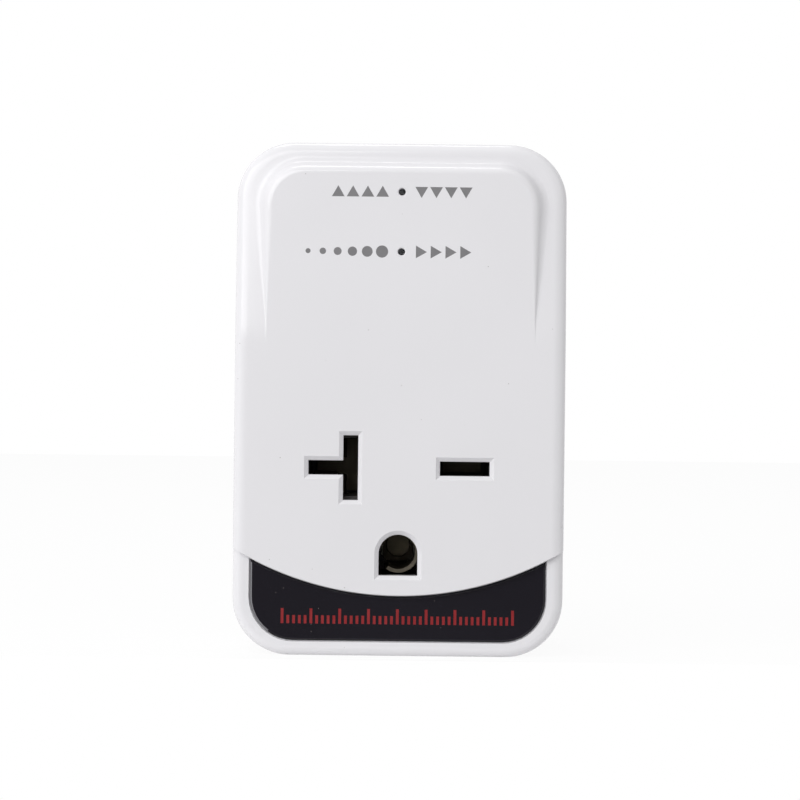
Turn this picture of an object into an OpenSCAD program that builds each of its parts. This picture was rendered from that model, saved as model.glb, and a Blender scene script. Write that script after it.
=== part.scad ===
/* [Case] */
// Width of the case
body_w = 46; // [45:0.5:56]
// Reach of the case above the line of the slots
top_reach = 45.3; // [45:0.1:52]
// Reach of the case below the line of the slots
bottom_reach = 26.2; // [26:0.1:32]
// Depth of the case from the wall to the front face
body_d = 32; // [31.5:0.5:40]
// Radius of the case's four upright corners
corner_r = 8; // [6.5:0.5:9]
// Rounding of the front rim
edge_r = 1.5; // [0.8:0.1:2]
// Rounding of the rear rim
rear_edge_r = 1; // [0.5:0.1:1.5]
// Thickness of the side walls
side_wall = 2; // [1.8:0.1:2.4]
// Thickness of the front wall
front_wall = 2.4; // [2:0.1:2.8]
// Thickness of the wall plate
rear_wall = 2; // [1.8:0.1:2.6]
// Depth of the rear shell, from the wall to the parting line
rear_shell_d = 13; // [12:0.5:15]
// Height of the tongue that joins the two shells
tongue_h = 1.5; // [1:0.1:2]
// Thickness of that tongue
tongue_t = 0.9; // [0.7:0.1:1]
// Gap beside the tongue
tongue_gap = 0.1; // [0.05:0.01:0.15]

/* [Front shoulder] */
// Height above the slots where the shoulder begins
shoulder_start = 18.6; // [16:0.1:22]
// Backward tilt of the strip outside the shoulder, in degrees
shoulder_tilt = 5; // [2:0.5:6]
// Inset of the plateau's upper side edges
plateau_side_inset = 4.8; // [4.2:0.1:5]
// Inset of the plateau's top edge
plateau_top_inset = 4; // [3.6:0.1:4.4]
// Inset of the plateau's side edges where the shoulder begins
plateau_tip_inset = 3.7; // [3.2:0.1:4]
// Radius of the plateau's upper corners
plateau_corner_r = 5.2; // [4:0.1:6]
// Rounding of the plateau's upper rim
plateau_edge_r = 0.5; // [0.3:0.1:0.8]
// Width of the sloping step beside the plateau at its foot
step_run = 2; // [1.2:0.1:2.4]

/* [Label] */
// Radius of the arc along the label's upper edge
arc_r = 44.4; // [40:0.1:60]
// Drop of the arc's lowest point below the slots
arc_drop = 17.7; // [17:0.1:19]
// Depth of the sunken lower area
label_sink = 0.8; // [0.4:0.1:0.9]
// Depth of the label's recess
recess_d = 0.6; // [0.4:0.1:0.6]
// Thickness of the label plate
label_t = 0.5; // [0.3:0.1:0.6]
// Gap round the label plate
label_gap = 0.15; // [0.1:0.01:0.25]
// Inset of the label's recess from the sides
label_side_inset = 2.3; // [2:0.1:3]
// Inset of the label's recess from the bottom
label_bottom_inset = 2; // [1.8:0.1:2.6]
// Radius of the recess's lower corners
label_corner_r = 4.8; // [3:0.1:6]

/* [Socket face] */
// Distance between the centres of the two slots
slot_spacing = 18.26; // [18:0.02:18.6]
// Length of a slot
slot_len = 6.9; // [6.6:0.1:7.1]
// Height of a slot
slot_h = 2; // [1.8:0.1:2.2]
// Width of the T slot's upright bar
tee_bar_w = 2.08; // [1.9:0.02:2.2]
// Height of the T slot's upright bar
tee_bar_h = 9; // [8:0.1:9.2]
// Drop of the ground hole's centre below the slots
ground_drop = 11.91; // [11.8:0.01:12.1]
// Radius of the ground hole's round top
ground_hole_r = 2.7; // [2.6:0.05:2.85]
// Reach of the ground hole's flat bottom below its centre
ground_hole_foot = 3; // [2.8:0.1:3.1]
// Width and depth of the bevel round the openings
slot_bevel = 0.5; // [0.3:0.1:0.6]

/* [Contacts] */
// Depth that a mating plug's blades reach behind the front face
plug_depth = 18.2; // [17.6:0.1:18.6]
// Thickness of the contacts' brass sheet
brass_t = 0.5; // [0.4:0.05:0.6]
// Width of the flat contact's leaves
leaf_w = 5.6; // [5:0.1:6]
// Half gap between a contact's leaves at their pinch
pinch_half = 0.71; // [0.6:0.01:0.75]
// Half gap between a contact's leaves at their mouth
mouth_half = 1.9; // [1.6:0.1:2.1]
// Length of the ground contact's round clip
clip_len = 9; // [7:0.5:10]
// Opening of the ground clip, in degrees
clip_open_angle = 70; // [50:5:90]
// Thickness of the carrier's front lip
carrier_lip = 1; // [0.8:0.1:1.4]
// Thickness of the carrier's outer walls
carrier_wall = 2.1; // [1.8:0.1:2.3]
// Thickness of the carrier's cover
cover_t = 1.4; // [1.2:0.1:1.8]

/* [Rear plug] */
// Width of a blade
blade_w = 6.35; // [6.2:0.05:6.5]
// Thickness of a blade
blade_t = 1.52; // [1.4:0.02:1.6]
// Reach of the blades behind the wall plate
blade_reach = 17.8; // [16:0.1:18.3]
// Radius of the hole near a blade's tip
blade_hole_r = 1.8; // [1.4:0.1:2]
// Radius of the ground pin
ground_pin_r = 2.39; // [2.35:0.01:2.42]
// Reach of the ground pin behind the wall plate
ground_pin_reach = 21; // [20:0.1:22]
// Thickness of the flanges that hold the blades and the pin
flange_t = 1.4; // [1.2:0.1:1.8]
// Thickness of the blade clamp
clamp_t = 3; // [2.6:0.1:3.2]
// Width of the tabs that carry the current inside
tab_w = 4; // [3.6:0.1:4.4]
// Thickness of those tabs
tab_t = 0.8; // [0.7:0.1:1]

/* [Circuit board] */
// Thickness of the circuit board
board_t = 1.6; // [1.2:0.1:1.8]
// Distance of the board from the wall plate's inside
board_standoff = 4; // [3.6:0.1:4.4]
// Gap between the board's edge and the case
board_gap = 0.4; // [0.3:0.1:0.6]
// Height of the board's lower edge above the slots
board_bottom = 13; // [12.6:0.1:13.2]
// Radius of the insulated mains wires
wire_r = 1.1; // [0.9:0.05:1.15]
// Radius of the thin wire that feeds the board
thin_wire_r = 0.7; // [0.5:0.05:0.9]

/* [Indicator lights] */
// Height of the upper light above the slots
upper_light_z = 38.3; // [37.8:0.1:38.8]
// Height of the lower light above the slots
lower_light_z = 30; // [29.4:0.1:30.6]
// Radius of the two pin holes
pin_hole_r = 0.5; // [0.4:0.05:0.8]
// Radius of a light's dome
light_r = 1.5; // [1.4:0.05:1.6]
// Length of a light from flange to dome
light_len = 5.3; // [4.8:0.1:5.6]

/* [Relay] */
// Width of the relay
relay_w = 16.5; // [15.5:0.1:16.8]
// Length of the relay
relay_l = 19.5; // [19:0.1:19.8]
// Height of the relay above the board
relay_h = 16.5; // [16.2:0.1:18]
// Thickness of the relay's cover
relay_wall = 0.8; // [0.6:0.1:0.9]
// Radius of the coil's iron core
core_r = 2; // [1.6:0.1:2.2]
// Outer radius of the winding
coil_r = 5; // [4.4:0.1:5.2]
// Thickness of the yoke's steel
yoke_t = 1.2; // [1:0.1:1.4]
// Height of the yoke's top above the board
yoke_h = 12; // [11.6:0.1:12.2]
// Thickness of the armature
armature_t = 1.2; // [0.9:0.1:1.3]
// Angle that the armature closes through, in degrees
armature_angle = 4; // [3:0.5:4.5]

/* [Screws] */
// Radius of the case screws
case_screw_r = 1.25; // [1.1:0.05:1.4]
// Length of the case screws
case_screw_len = 20; // [17:0.5:21]
// Depth of the wells that the case screws sit in
well_d = 4; // [3:0.5:6]
// Radius of the small screws inside
small_screw_r = 0.95; // [0.85:0.05:1.05]
// Radius of the front shell's corner posts
post_r = 2.6; // [2.3:0.1:2.8]
// Inset of the corner posts from the sides, the top and the bottom
post_inset = 5.8; // [5.6:0.1:6]

/* [Hidden] */
$fn = 48;
// Segments of the rounded corners and rims that are hulled
hull_fn = 32;
rim_fn = 16;

// Overrun of every cut past the face that it opens
over = 1;
// Clearance of a screw, a core or a rivet in its hole
pin_gap = 0.03;
// Clearance of a lead, a tab or a blade that passes through a wall
pass_gap = 0.15;
// Clearance between pieces that lie beside each other
seat_gap = 0.3;

// Planes of the case, from the front to the wall
half_w = body_w / 2;
face_y = -body_d;
sunk_y = face_y + label_sink;
recess_y = sunk_y + recess_d;
inner_front_y = face_y + front_wall;
parting_y = -rear_shell_d;
plate_y = -rear_wall;
shoulder_fall = (top_reach - shoulder_start) * tan(shoulder_tilt);
cavity_y = inner_front_y + shoulder_fall;
// Land left beside the hollow behind the front face, and that hollow's corners
wall_land = 1.2;
pocket_r = 4;

// Corner centres of the case
corner_x = half_w - corner_r;
top_corner_z = top_reach - corner_r;
low_corner_z = corner_r - bottom_reach;
arc_z = arc_r - arc_drop;

// Corner posts, the rear shell's towers and the case screws
post_x = half_w - post_inset;
post_zs = [post_inset - bottom_reach, top_reach - post_inset];
tower_wall = 0.8;
tower_r = post_r + tower_wall;
well_wall = 0.9;
well_r = tower_r - well_wall;
case_head_r = well_r - seat_gap;
case_head_t = 1.8;
small_head_r = 1.9;
small_head_t = 1.2;
cross_w = 0.6;
cross_depth = 0.7;
cross_share = 0.65;
head_share = 0.8;
point_share = 0.3;
point_length_share = 2;

// Socket layout
slot_x = slot_spacing / 2;
tee_x = (slot_len - tee_bar_w) / 2 - slot_x;
bar_half = tee_bar_w / 2;
contact_back_y = face_y + plug_depth + seat_gap;
cover_y = contact_back_y + brass_t;
cover_back_y = cover_y + cover_t;
mouth_y = inner_front_y + carrier_lip + seat_gap;
pinch_share = 0.4;
pinch_y = mouth_y + (contact_back_y - mouth_y) * pinch_share;
root_half = mouth_half;
leaf_margin = 0.7;
tee_leaf_z = tee_bar_h / 2 - leaf_margin;
blade_room = 1.2;
pocket_half = mouth_half + brass_t + seat_gap;
tee_pocket_z = tee_leaf_z + seat_gap;
tee_arm_low = -slot_x - leaf_w / 2;
tee_arm_high = tee_x - mouth_half - brass_t / 2;
carrier_x = slot_x + slot_len / 2 + carrier_wall;
carrier_top = tee_pocket_z + carrier_wall;
clip_r = ground_pin_r + brass_t;
ground_lead_in = 1.4;
clip_y = mouth_y + ground_lead_in;
ground_pocket_x = clip_r + seat_gap;
ground_pocket_low = max(ground_drop + clip_r + seat_gap, ground_drop + ground_hole_foot + seat_gap);
carrier_low = ground_pocket_low + carrier_wall;

// Ears and bosses that hold the carrier
boss_r = 2.4;
boss_gap = 0.6;
ear_r = 3;
ear_t = 3;
ear_zs = [-carrier_low - boss_r - boss_gap, carrier_top + boss_r + boss_gap];
ear_y = cover_y - ear_t;
carrier_screw_len = 9;

// Rear plug
flange_y = plate_y - flange_t;
clamp_y = flange_y - clamp_t;
flange_rim = 1;
pin_flange_r = 3.6;
pin_collar = 0.4;
tab_room = 1.6;
tab_end_y = cover_back_y + tab_room;
tab_mid_y = (tab_end_y + clamp_y) / 2;
tab_reach = 6.1;
clamp_x = slot_x + blade_w / 2 + flange_rim + seat_gap;
clamp_top = 4;
clamp_low = 16;
clamp_screw_x = 9.5;
clamp_screw_z = -8.5;
clamp_boss_r = 2.2;
clamp_screw_end = plate_y / 2;
clamp_corner_r = 1.5;
pin_tail_r = 1.2;
pin_head = 0.8;
pin_head_r = 1.8;
strap_x = 2.2;
strap_t = 0.6;
tail_w = 3.6;
tail_grip = 2;
blade_tip = 1.5;
blade_tip_share = 0.25;
blade_hole_y = 11.9;

// Circuit board
board_back_y = plate_y - board_standoff;
board_y = board_back_y - board_t;
board_top = top_reach - side_wall - board_gap;
board_post_r = 2.2;
board_screw_x = 11;
board_screw_drop = 4.9;
board_screw_rise = 4;
board_screws_at = [[0, board_bottom + board_screw_rise], [board_screw_x, top_reach - board_screw_drop],
    [-board_screw_x, top_reach - board_screw_drop]];
pad_strip = 3;
pad_z = board_bottom + pad_strip / 2;
lead_r = 0.35;
lead_reach = 1.2;
solder_rim = 0.6;
solder_tip = 0.2;
solder_h = 0.8;

// Parts on the board, placed by their centres
relay_side = 1.5;
relay_x = relay_side + side_wall + relay_w / 2 - half_w;
relay_z = board_bottom + pad_strip + relay_l / 2;
part_side = 0.9;
film_w = 7;
film_l = 14;
film_h = 13;
film_pitch = 10;
film_x = half_w - side_wall - part_side - film_w / 2;
film_drop = 14.1;
film_z = board_top - film_drop;
filter_r = 3.9;
filter_h = 11.5;
filter_pitch = 3.5;
filter_aside = 6.5;
filter_drop = 7;
filter_at = [film_x - film_w / 2 - filter_aside, board_top - filter_drop];
timing_r = 2.5;
timing_h = 7;
timing_pitch = 2;
timing_aside = 4.1;
timing_rise = 5.9;
can_rim = 0.4;
can_groove = 0.3;
can_foot = 1.2;
varistor_r = 5.2;
varistor_t = 4.2;
varistor_lift = 1.5;
varistor_pitch = 5;
varistor_x = half_w - side_wall - part_side - varistor_r;
varistor_rise = 5.6;
varistor_z = board_bottom + varistor_rise;
timing_at = [varistor_x - varistor_r - timing_aside, board_bottom + timing_rise];
chip_w = 6.4;
chip_l = 9.6;
chip_h = 3.3;
chip_lift = 0.5;
chip_aside = 5.6;
chip_drop = 15.9;
chip_at = [film_x - film_w / 2 - chip_aside, board_top - chip_drop];
chip_pitch = 2.54;
chip_row = 7.62;
chip_leg_w = 1.2;
chip_leg_t = 0.4;
chip_notch_r = 0.8;
light_flange = 0.4;
light_flange_t = 1;
light_pitch = 2.54;
cup_wall = 0.9;
light_tip_y = inner_front_y + seat_gap;
light_back_y = light_tip_y + light_len;
light_flange_y = light_back_y - light_flange_t;
diode_size = [4.3, 2.6, 2.1];
diode_foot = 0.5;
diode_foot_t = 0.3;
diode_step = [6, 3.6];
diode_drop = 3.7;
resistor_size = [2, 1.2, 0.5];
resistor_end = 0.3;
resistor_step = [3.4, 2.4];
switch_size = [4.5, 2.5, 1.5];
switch_rise = 1.9;
switch_leg = [0.4, 1, 0.3];

// Relay, measured from its centre and from the board's front face
relay_fit = 0.05;
relay_base_t = 1.6;
relay_in_w = relay_w / 2 - relay_wall;
relay_in_l = relay_l / 2 - relay_wall;
relay_pin_r = 0.5;
yoke_w = 10;
yoke_side = 0.45;
yoke_out = relay_in_l - yoke_side;
core_y = 1.2;
pole_r = 3.4;
pole_t = 1;
bobbin_wall = 0.7;
flange_reach = 0.4;
bobbin_t = 0.8;
bobbin_wing = 6.9;
coil_pin_x = 6.2;
yoke_pin_y = 4.6;
air = 0.1;
armature_w = 9;
armature_l = 11.7;
leaf_t = 0.3;
leaf_width = 5;
leaf_back = 6.5;
leaf_front = 8.5;
contact_r = 1.3;
contact_y = 7.2;
contact_t = 0.7;
contact_head = 0.3;
contact_head_r = 0.8;
strip_t = 0.8;
strip_w = 5;
strip_out = relay_in_l - seat_gap;
strip_in = 5.9;
hinge_h = yoke_h + air;
contact_h = hinge_h + armature_t - contact_t;
strip_h = contact_h - air - contact_t;
open_pin_y = strip_out - strip_t / 2;

// Places of the leads that pass through the board
coil_leads = [[relay_x - coil_pin_x, relay_z + core_y], [relay_x + coil_pin_x, relay_z + core_y]];
yoke_lead = [relay_x, relay_z + yoke_pin_y];
open_lead = [relay_x, relay_z - open_pin_y];
film_leads = [[film_x, film_z - film_pitch / 2], [film_x, film_z + film_pitch / 2]];
filter_leads = [filter_at - [filter_pitch / 2, 0], filter_at + [filter_pitch / 2, 0]];
timing_leads = [timing_at - [timing_pitch / 2, 0], timing_at + [timing_pitch / 2, 0]];
varistor_leads = [for (side = [-0.5, 0.5]) [varistor_x + side * varistor_pitch, varistor_z]];
chip_leads = [for (side = [-0.5, 0.5], row = [-1.5:1.5]) chip_at + [side * chip_row, row * chip_pitch]];
light_leads = [for (z = [lower_light_z, upper_light_z], side = [-0.5, 0.5]) [side * light_pitch, z]];
relay_leads = concat(coil_leads, [yoke_lead, open_lead]);
thin_leads = concat(film_leads, filter_leads, timing_leads, varistor_leads, chip_leads, light_leads);

// Routes of the wires, from the tab or tail that carries the wire to its pad on the board
wire_front = 3.6;
wire_rise = 3.7;
wire_bend = 1.7;
wire_slope_z = 9;
line_in_x = -slot_x - tab_reach + wire_r + seat_gap * 2;
line_out_y = tab_mid_y - wire_r - air;
line_out_x = -slot_x + wire_r;
wire_sides = 8;
bend_steps = 4;

// Extrusions and round bars along the three axes, between two places
module span_x(x) {
    translate([x[0], 0, 0]) rotate([90, 0, 90]) linear_extrude(x[1] - x[0]) children();
}

module span_y(y) {
    translate([0, y[1], 0]) rotate([90, 0, 0]) linear_extrude(y[1] - y[0]) children();
}

module span_z(z) {
    translate([0, 0, z[0]]) linear_extrude(z[1] - z[0]) children();
}

module block(x, y, z) {
    translate([x[0], y[0], z[0]]) cube([x[1] - x[0], y[1] - y[0], z[1] - z[0]]);
}

module rod(at, y, r) {
    translate([at[0], y[1], at[1]]) rotate([90, 0, 0]) cylinder(h = y[1] - y[0], r = r);
}

// Outlines seen from the front
module rounded_rect(x, z, r) {
    translate([x[0] + r, z[0]]) square([x[1] - x[0] - 2 * r, z[1] - z[0]]);
    translate([x[0], z[0] + r]) square([x[1] - x[0], z[1] - z[0] - 2 * r]);
    for (cx = [x[0] + r, x[1] - r], cz = [z[0] + r, z[1] - r]) translate([cx, cz]) circle(r);
}

module case_outline(inset) {
    rounded_rect([inset - half_w, half_w - inset], [inset - bottom_reach, top_reach - inset],
        corner_r - inset);
}

module below_arc() {
    difference() {
        translate([-half_w - over, -bottom_reach - over])
            square([body_w + 2 * over, arc_z + bottom_reach + over]);
        translate([0, arc_z]) circle(arc_r, $fn = 4 * hull_fn);
    }
}

module label_outline(gap) {
    side = half_w - label_side_inset - gap;
    difference() {
        rounded_rect([-side, side], [label_bottom_inset + gap - bottom_reach, 0], label_corner_r - gap);
        translate([0, arc_z]) circle(arc_r + gap, $fn = 4 * hull_fn);
    }
}

module tee_outline(gap) {
    translate([-slot_x - slot_len / 2 - gap, -slot_h / 2 - gap]) square([slot_len, slot_h] + 2 * [gap, gap]);
    translate([tee_x - bar_half - gap, -tee_bar_h / 2 - gap]) square([tee_bar_w, tee_bar_h] + 2 * [gap, gap]);
}

module flat_outline(gap) {
    translate([slot_x - slot_len / 2 - gap, -slot_h / 2 - gap]) square([slot_len, slot_h] + 2 * [gap, gap]);
}

module ground_outline(gap) {
    translate([0, -ground_drop]) {
        circle(ground_hole_r + gap);
        translate([-ground_hole_r - gap, -ground_hole_foot - gap])
            square([ground_hole_r + gap, 0] * 2 + [0, ground_hole_foot + gap]);
    }
}

// A rectangular rim that narrows from the front face by the bevel's width
module bevel_box(x, z) {
    out = slot_bevel + over;
    front = face_y - over;
    back = face_y + slot_bevel;
    intersection() {
        span_z([z[0] - out, z[1] + out])
            polygon([[x[0] - out, front], [x[1] + out, front], [x[1], back], [x[0], back]]);
        span_x([x[0] - out, x[1] + out])
            polygon([[front, z[0] - out], [front, z[1] + out], [back, z[1]], [back, z[0]]]);
    }
}

module bevels() {
    arm = [-slot_x - slot_len / 2, -slot_x + slot_len / 2];
    bevel_box(arm, [-slot_h / 2, slot_h / 2]);
    bevel_box([tee_x - bar_half, tee_x + bar_half], [-tee_bar_h / 2, tee_bar_h / 2]);
    bevel_box([-arm[1], -arm[0]], [-slot_h / 2, slot_h / 2]);
    bevel_box([-ground_hole_r, ground_hole_r], [-ground_drop - ground_hole_foot, -ground_drop - slot_bevel]);
    translate([0, face_y + slot_bevel, -ground_drop]) rotate([90, 0, 0])
        cylinder(h = slot_bevel + over, r1 = ground_hole_r, r2 = ground_hole_r + slot_bevel + over);
}

// Rounded front rim of the case at one upright corner, leaning back by an angle
module rim_corner(x, y, z, lean = 0) {
    translate([x, y + edge_r * cos(lean), z - edge_r * sin(lean)]) rotate([90 - lean, 0, 0])
        rotate_extrude($fn = hull_fn) translate([corner_r - edge_r, 0]) circle(edge_r, $fn = rim_fn);
}

module back_corner(x, z, r) {
    translate([x, parting_y, z]) rotate([90, 0, 0]) cylinder(h = edge_r, r = r, $fn = hull_fn);
}

// Front of the case above the arc, with its upper strip leaning back
module raised_body() {
    lean_y = face_y + (top_corner_z - shoulder_start) * tan(shoulder_tilt);
    hull() {
        for (side = [-1, 1]) {
            rim_corner(side * corner_x, face_y, low_corner_z);
            rim_corner(side * corner_x, lean_y, top_corner_z, shoulder_tilt);
            translate([side * (half_w - edge_r), face_y + edge_r, shoulder_start])
                sphere(edge_r, $fn = hull_fn);
            back_corner(side * corner_x, low_corner_z, corner_r);
            back_corner(side * corner_x, top_corner_z, corner_r);
        }
    }
}

// Sunken body below the arc
module sunken_body() {
    hull() {
        for (side = [-1, 1]) {
            rim_corner(side * corner_x, sunk_y, low_corner_z);
            translate([side * (half_w - edge_r), sunk_y + edge_r, 0]) sphere(edge_r, $fn = hull_fn);
            back_corner(side * corner_x, low_corner_z, corner_r);
            back_corner(side * (half_w - edge_r), 0, edge_r);
        }
    }
}

// Plateau that stands out of the leaning strip, with a sloping step round it
module plateau() {
    step_depth = shoulder_fall + plateau_edge_r;
    up = top_reach - plateau_top_inset - plateau_corner_r;
    hull() {
        for (side = [-1, 1]) {
            translate([side * (half_w - plateau_side_inset - plateau_corner_r), 0, up]) {
                translate([0, face_y + plateau_edge_r, 0]) rotate([90, 0, 0]) rotate_extrude($fn = hull_fn)
                    translate([plateau_corner_r - plateau_edge_r, 0]) circle(plateau_edge_r, $fn = rim_fn);
                translate([0, face_y + step_depth, 0]) rotate([90, 0, 0])
                    cylinder(h = plateau_edge_r, r = plateau_corner_r + step_run, $fn = hull_fn);
            }
            translate([side * (half_w - plateau_tip_inset - plateau_edge_r), 0, shoulder_start]) {
                translate([0, face_y + plateau_edge_r, 0]) sphere(plateau_edge_r, $fn = rim_fn);
                translate([0, face_y + step_depth, 0]) rotate([90, 0, 0])
                    cylinder(h = plateau_edge_r, r = plateau_edge_r + step_run, $fn = rim_fn);
            }
        }
    }
}

module front_outer() {
    difference() {
        raised_body();
        span_y([face_y - over, parting_y + over]) below_arc();
    }
    sunken_body();
    plateau();
}

// Hollow of the front shell, deeper behind the plateau and the lower face
module front_hollow() {
    high_x = half_w - plateau_side_inset - side_wall;
    low_x = half_w - side_wall - wall_land;
    low_z = side_wall + wall_land - bottom_reach;
    span_y([cavity_y, parting_y + over]) case_outline(side_wall);
    span_y([parting_y - tongue_h - seat_gap, parting_y + over])
        case_outline(side_wall - tongue_t - tongue_gap);
    span_y([inner_front_y, cavity_y + over]) {
        rounded_rect([-high_x, high_x], [low_z, top_reach - plateau_top_inset - side_wall], pocket_r);
        rounded_rect([-low_x, low_x], [low_z, shoulder_start], pocket_r);
    }
}

module front_shell() {
    color("white") difference() {
        union() {
            difference() {
                front_outer();
                front_hollow();
            }
            for (side = [-1, 1]) {
                rod([side * post_x, post_zs[0]], [inner_front_y - seat_gap, parting_y], post_r);
                rod([side * post_x, post_zs[1]], [cavity_y - seat_gap, parting_y], post_r);
            }
            for (z = ear_zs) rod([0, z], [inner_front_y - seat_gap, ear_y], boss_r);
            for (z = [lower_light_z, upper_light_z])
                rod([0, z], [inner_front_y - seat_gap, light_flange_y], light_r + pass_gap + cup_wall);
        }
        span_y([face_y - over, inner_front_y + over]) {
            tee_outline(0);
            flat_outline(0);
            ground_outline(0);
        }
        bevels();
        span_y([sunk_y - over, recess_y]) label_outline(0);
        for (z = [lower_light_z, upper_light_z]) {
            rod([0, z], [face_y - over, inner_front_y + over], pin_hole_r);
            rod([0, z], [inner_front_y, light_flange_y + over], light_r + pass_gap);
        }
        for (side = [-1, 1], z = post_zs)
            rod([side * post_x, z], [-well_d - case_screw_len - seat_gap, parting_y + over],
                case_screw_r + pin_gap);
        for (z = ear_zs)
            rod([0, z], [cover_back_y - carrier_screw_len - seat_gap, ear_y + over], small_screw_r + pin_gap);
    }
}

// Rear shell: a tray with a rounded rim towards the wall
module quarter_round(r) {
    intersection() {
        circle(r);
        square(r);
    }
}

// Section through the tray's depth, from one side to the other across its rounded rim
module tray_section(low, high) {
    e = rear_edge_r;
    translate([low, parting_y]) square([high - low, -e - parting_y]);
    translate([low + e, parting_y]) square([high - low - 2 * e, -parting_y]);
    for (side = [low + e, high - e]) translate([side, -e]) circle(e);
}

module rear_outer() {
    span_x([-corner_x, corner_x]) mirror([1, -1]) tray_section(-bottom_reach, top_reach);
    span_z([low_corner_z, top_corner_z]) tray_section(-half_w, half_w);
    for (x = [-corner_x, corner_x], z = [low_corner_z, top_corner_z])
        translate([x, 0, z]) rotate([-90, 0, 0]) rotate_extrude() intersection() {
            tray_section(-corner_r, corner_r);
            translate([0, parting_y]) square([corner_r, -parting_y]);
        }
}

module tongue() {
    difference() {
        span_y([parting_y - tongue_h, parting_y + seat_gap]) case_outline(side_wall - tongue_t);
        span_y([parting_y - tongue_h - over, parting_y + over]) case_outline(side_wall);
        for (side = [-1, 1], z = post_zs)
            rod([side * post_x, z], [parting_y - tongue_h - over, parting_y], post_r + seat_gap);
    }
}

module rear_shell() {
    color("white") difference() {
        union() {
            difference() {
                rear_outer();
                span_y([parting_y - over, plate_y]) case_outline(side_wall);
            }
            tongue();
            for (side = [-1, 1], z = post_zs)
                rod([side * post_x, z], [parting_y, plate_y + seat_gap], tower_r);
            for (at = board_screws_at) rod(at, [board_back_y, plate_y + seat_gap], board_post_r);
            for (side = [-1, 1])
                rod([side * clamp_screw_x, clamp_screw_z], [flange_y, plate_y + seat_gap], clamp_boss_r);
        }
        for (side = [-1, 1], z = post_zs) {
            rod([side * post_x, z], [-well_d, over], well_r);
            rod([side * post_x, z], [parting_y - over, over - well_d], case_screw_r + pass_gap);
        }
        for (at = board_screws_at) rod(at, [board_back_y - over, plate_y], small_screw_r + pin_gap);
        for (side = [-1, 1])
            rod([side * clamp_screw_x, clamp_screw_z], [flange_y - over, clamp_screw_end],
                small_screw_r + pin_gap);
        for (side = [-1, 1])
            block([side * slot_x - blade_w / 2 - pass_gap, side * slot_x + blade_w / 2 + pass_gap],
                [plate_y - over, over], [-blade_t / 2 - pass_gap, blade_t / 2 + pass_gap]);
        rod([0, -ground_drop], [plate_y - over, over], ground_pin_r + pin_collar + pass_gap);
    }
}

module label_plate() {
    color("#212023") span_y([recess_y - label_t, recess_y]) label_outline(label_gap);
}

// Carrier of the socket contacts, with ears at its back
module carrier_plan(y) {
    block([-carrier_x, carrier_x], y, [-carrier_low, carrier_top]);
}

module carrier_ears(y) {
    for (z = ear_zs) {
        rod([0, z], y, ear_r);
        block([-ear_r, ear_r], y, z < 0 ? [z, -carrier_low + over] : [carrier_top - over, z]);
    }
}

module contact_carrier() {
    lip_back = inner_front_y + carrier_lip;
    pocket = [lip_back, cover_y + over];
    color("#2b2a2c") difference() {
        union() {
            carrier_plan([inner_front_y, cover_y]);
            carrier_ears([ear_y, cover_y]);
        }
        span_y([inner_front_y - over, lip_back + over]) {
            tee_outline(pass_gap);
            flat_outline(pass_gap);
            ground_outline(pass_gap);
        }
        block([-slot_x - slot_len / 2 - pass_gap, tee_x + pocket_half], pocket,
            [-tee_pocket_z, tee_pocket_z]);
        block([slot_x - slot_len / 2 - pass_gap, slot_x + slot_len / 2 + pass_gap], pocket,
            [-pocket_half, pocket_half]);
        block([-ground_pocket_x, ground_pocket_x], pocket,
            [-ground_pocket_low, ground_pocket_x - ground_drop]);
        for (z = ear_zs) rod([0, z], [ear_y - over, cover_y + over], small_screw_r + pass_gap);
    }
}

// Places of the contacts' tails, each as its ranges in x and z
tee_tail = [[-slot_x - tail_w / 2, -slot_x + tail_w / 2], [tee_leaf_z - brass_t, tee_leaf_z]];
flat_tail = [[slot_x - tail_w / 2, slot_x + tail_w / 2], [-brass_t, 0]];
ground_tail = [[-tail_w / 2, tail_w / 2], [-ground_drop - clip_r, brass_t - ground_drop - clip_r]];
gap_range = [-pass_gap, pass_gap];

module carrier_cover() {
    cut = [cover_y - over, cover_back_y + over];
    color("#2b2a2c") difference() {
        union() {
            carrier_plan([cover_y, cover_back_y]);
            carrier_ears([cover_y, cover_back_y]);
        }
        for (tail = [tee_tail, flat_tail, ground_tail]) block(tail[0] + gap_range, cut, tail[1] + gap_range);
        rod([0, -ground_drop], cut, ground_pin_r + seat_gap);
        for (z = ear_zs) rod([0, z], cut, small_screw_r + pass_gap);
    }
}

// A pair of bent leaves, drawn along the depth and across the gap
leaf = [[mouth_y, mouth_half], [pinch_y, pinch_half], [contact_back_y, root_half],
    [contact_back_y, root_half + brass_t], [pinch_y, pinch_half + brass_t], [mouth_y, mouth_half + brass_t]];

module level_leaves(x) {
    span_x(x) for (side = [0, 1]) mirror([0, side]) polygon(leaf);
}

module upright_leaves(z) {
    translate([tee_x, 0, 0]) span_z(z) for (side = [0, 1]) mirror([side, 0])
        polygon([for (p = leaf) [p[1], p[0]]]);
}

module tee_contact() {
    back = [contact_back_y, cover_y];
    root = root_half + brass_t;
    color("#b8923f") union() {
        level_leaves([tee_arm_low, tee_arm_high]);
        upright_leaves([blade_room, tee_leaf_z]);
        upright_leaves([-tee_leaf_z, -blade_room]);
        block([tee_arm_low, tee_x], back, [-root, root]);
        block([tee_x - root, tee_x + root], back, [-tee_leaf_z, tee_leaf_z]);
        block(tee_tail[0], [contact_back_y, tab_mid_y], tee_tail[1]);
    }
}

module flat_contact() {
    root = root_half + brass_t;
    x = [slot_x - leaf_w / 2, slot_x + leaf_w / 2];
    color("#b8923f") union() {
        level_leaves(x);
        block(x, [contact_back_y, cover_y], [-root, root]);
        block(flat_tail[0], [contact_back_y, clamp_y - seat_gap], flat_tail[1]);
    }
}

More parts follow.
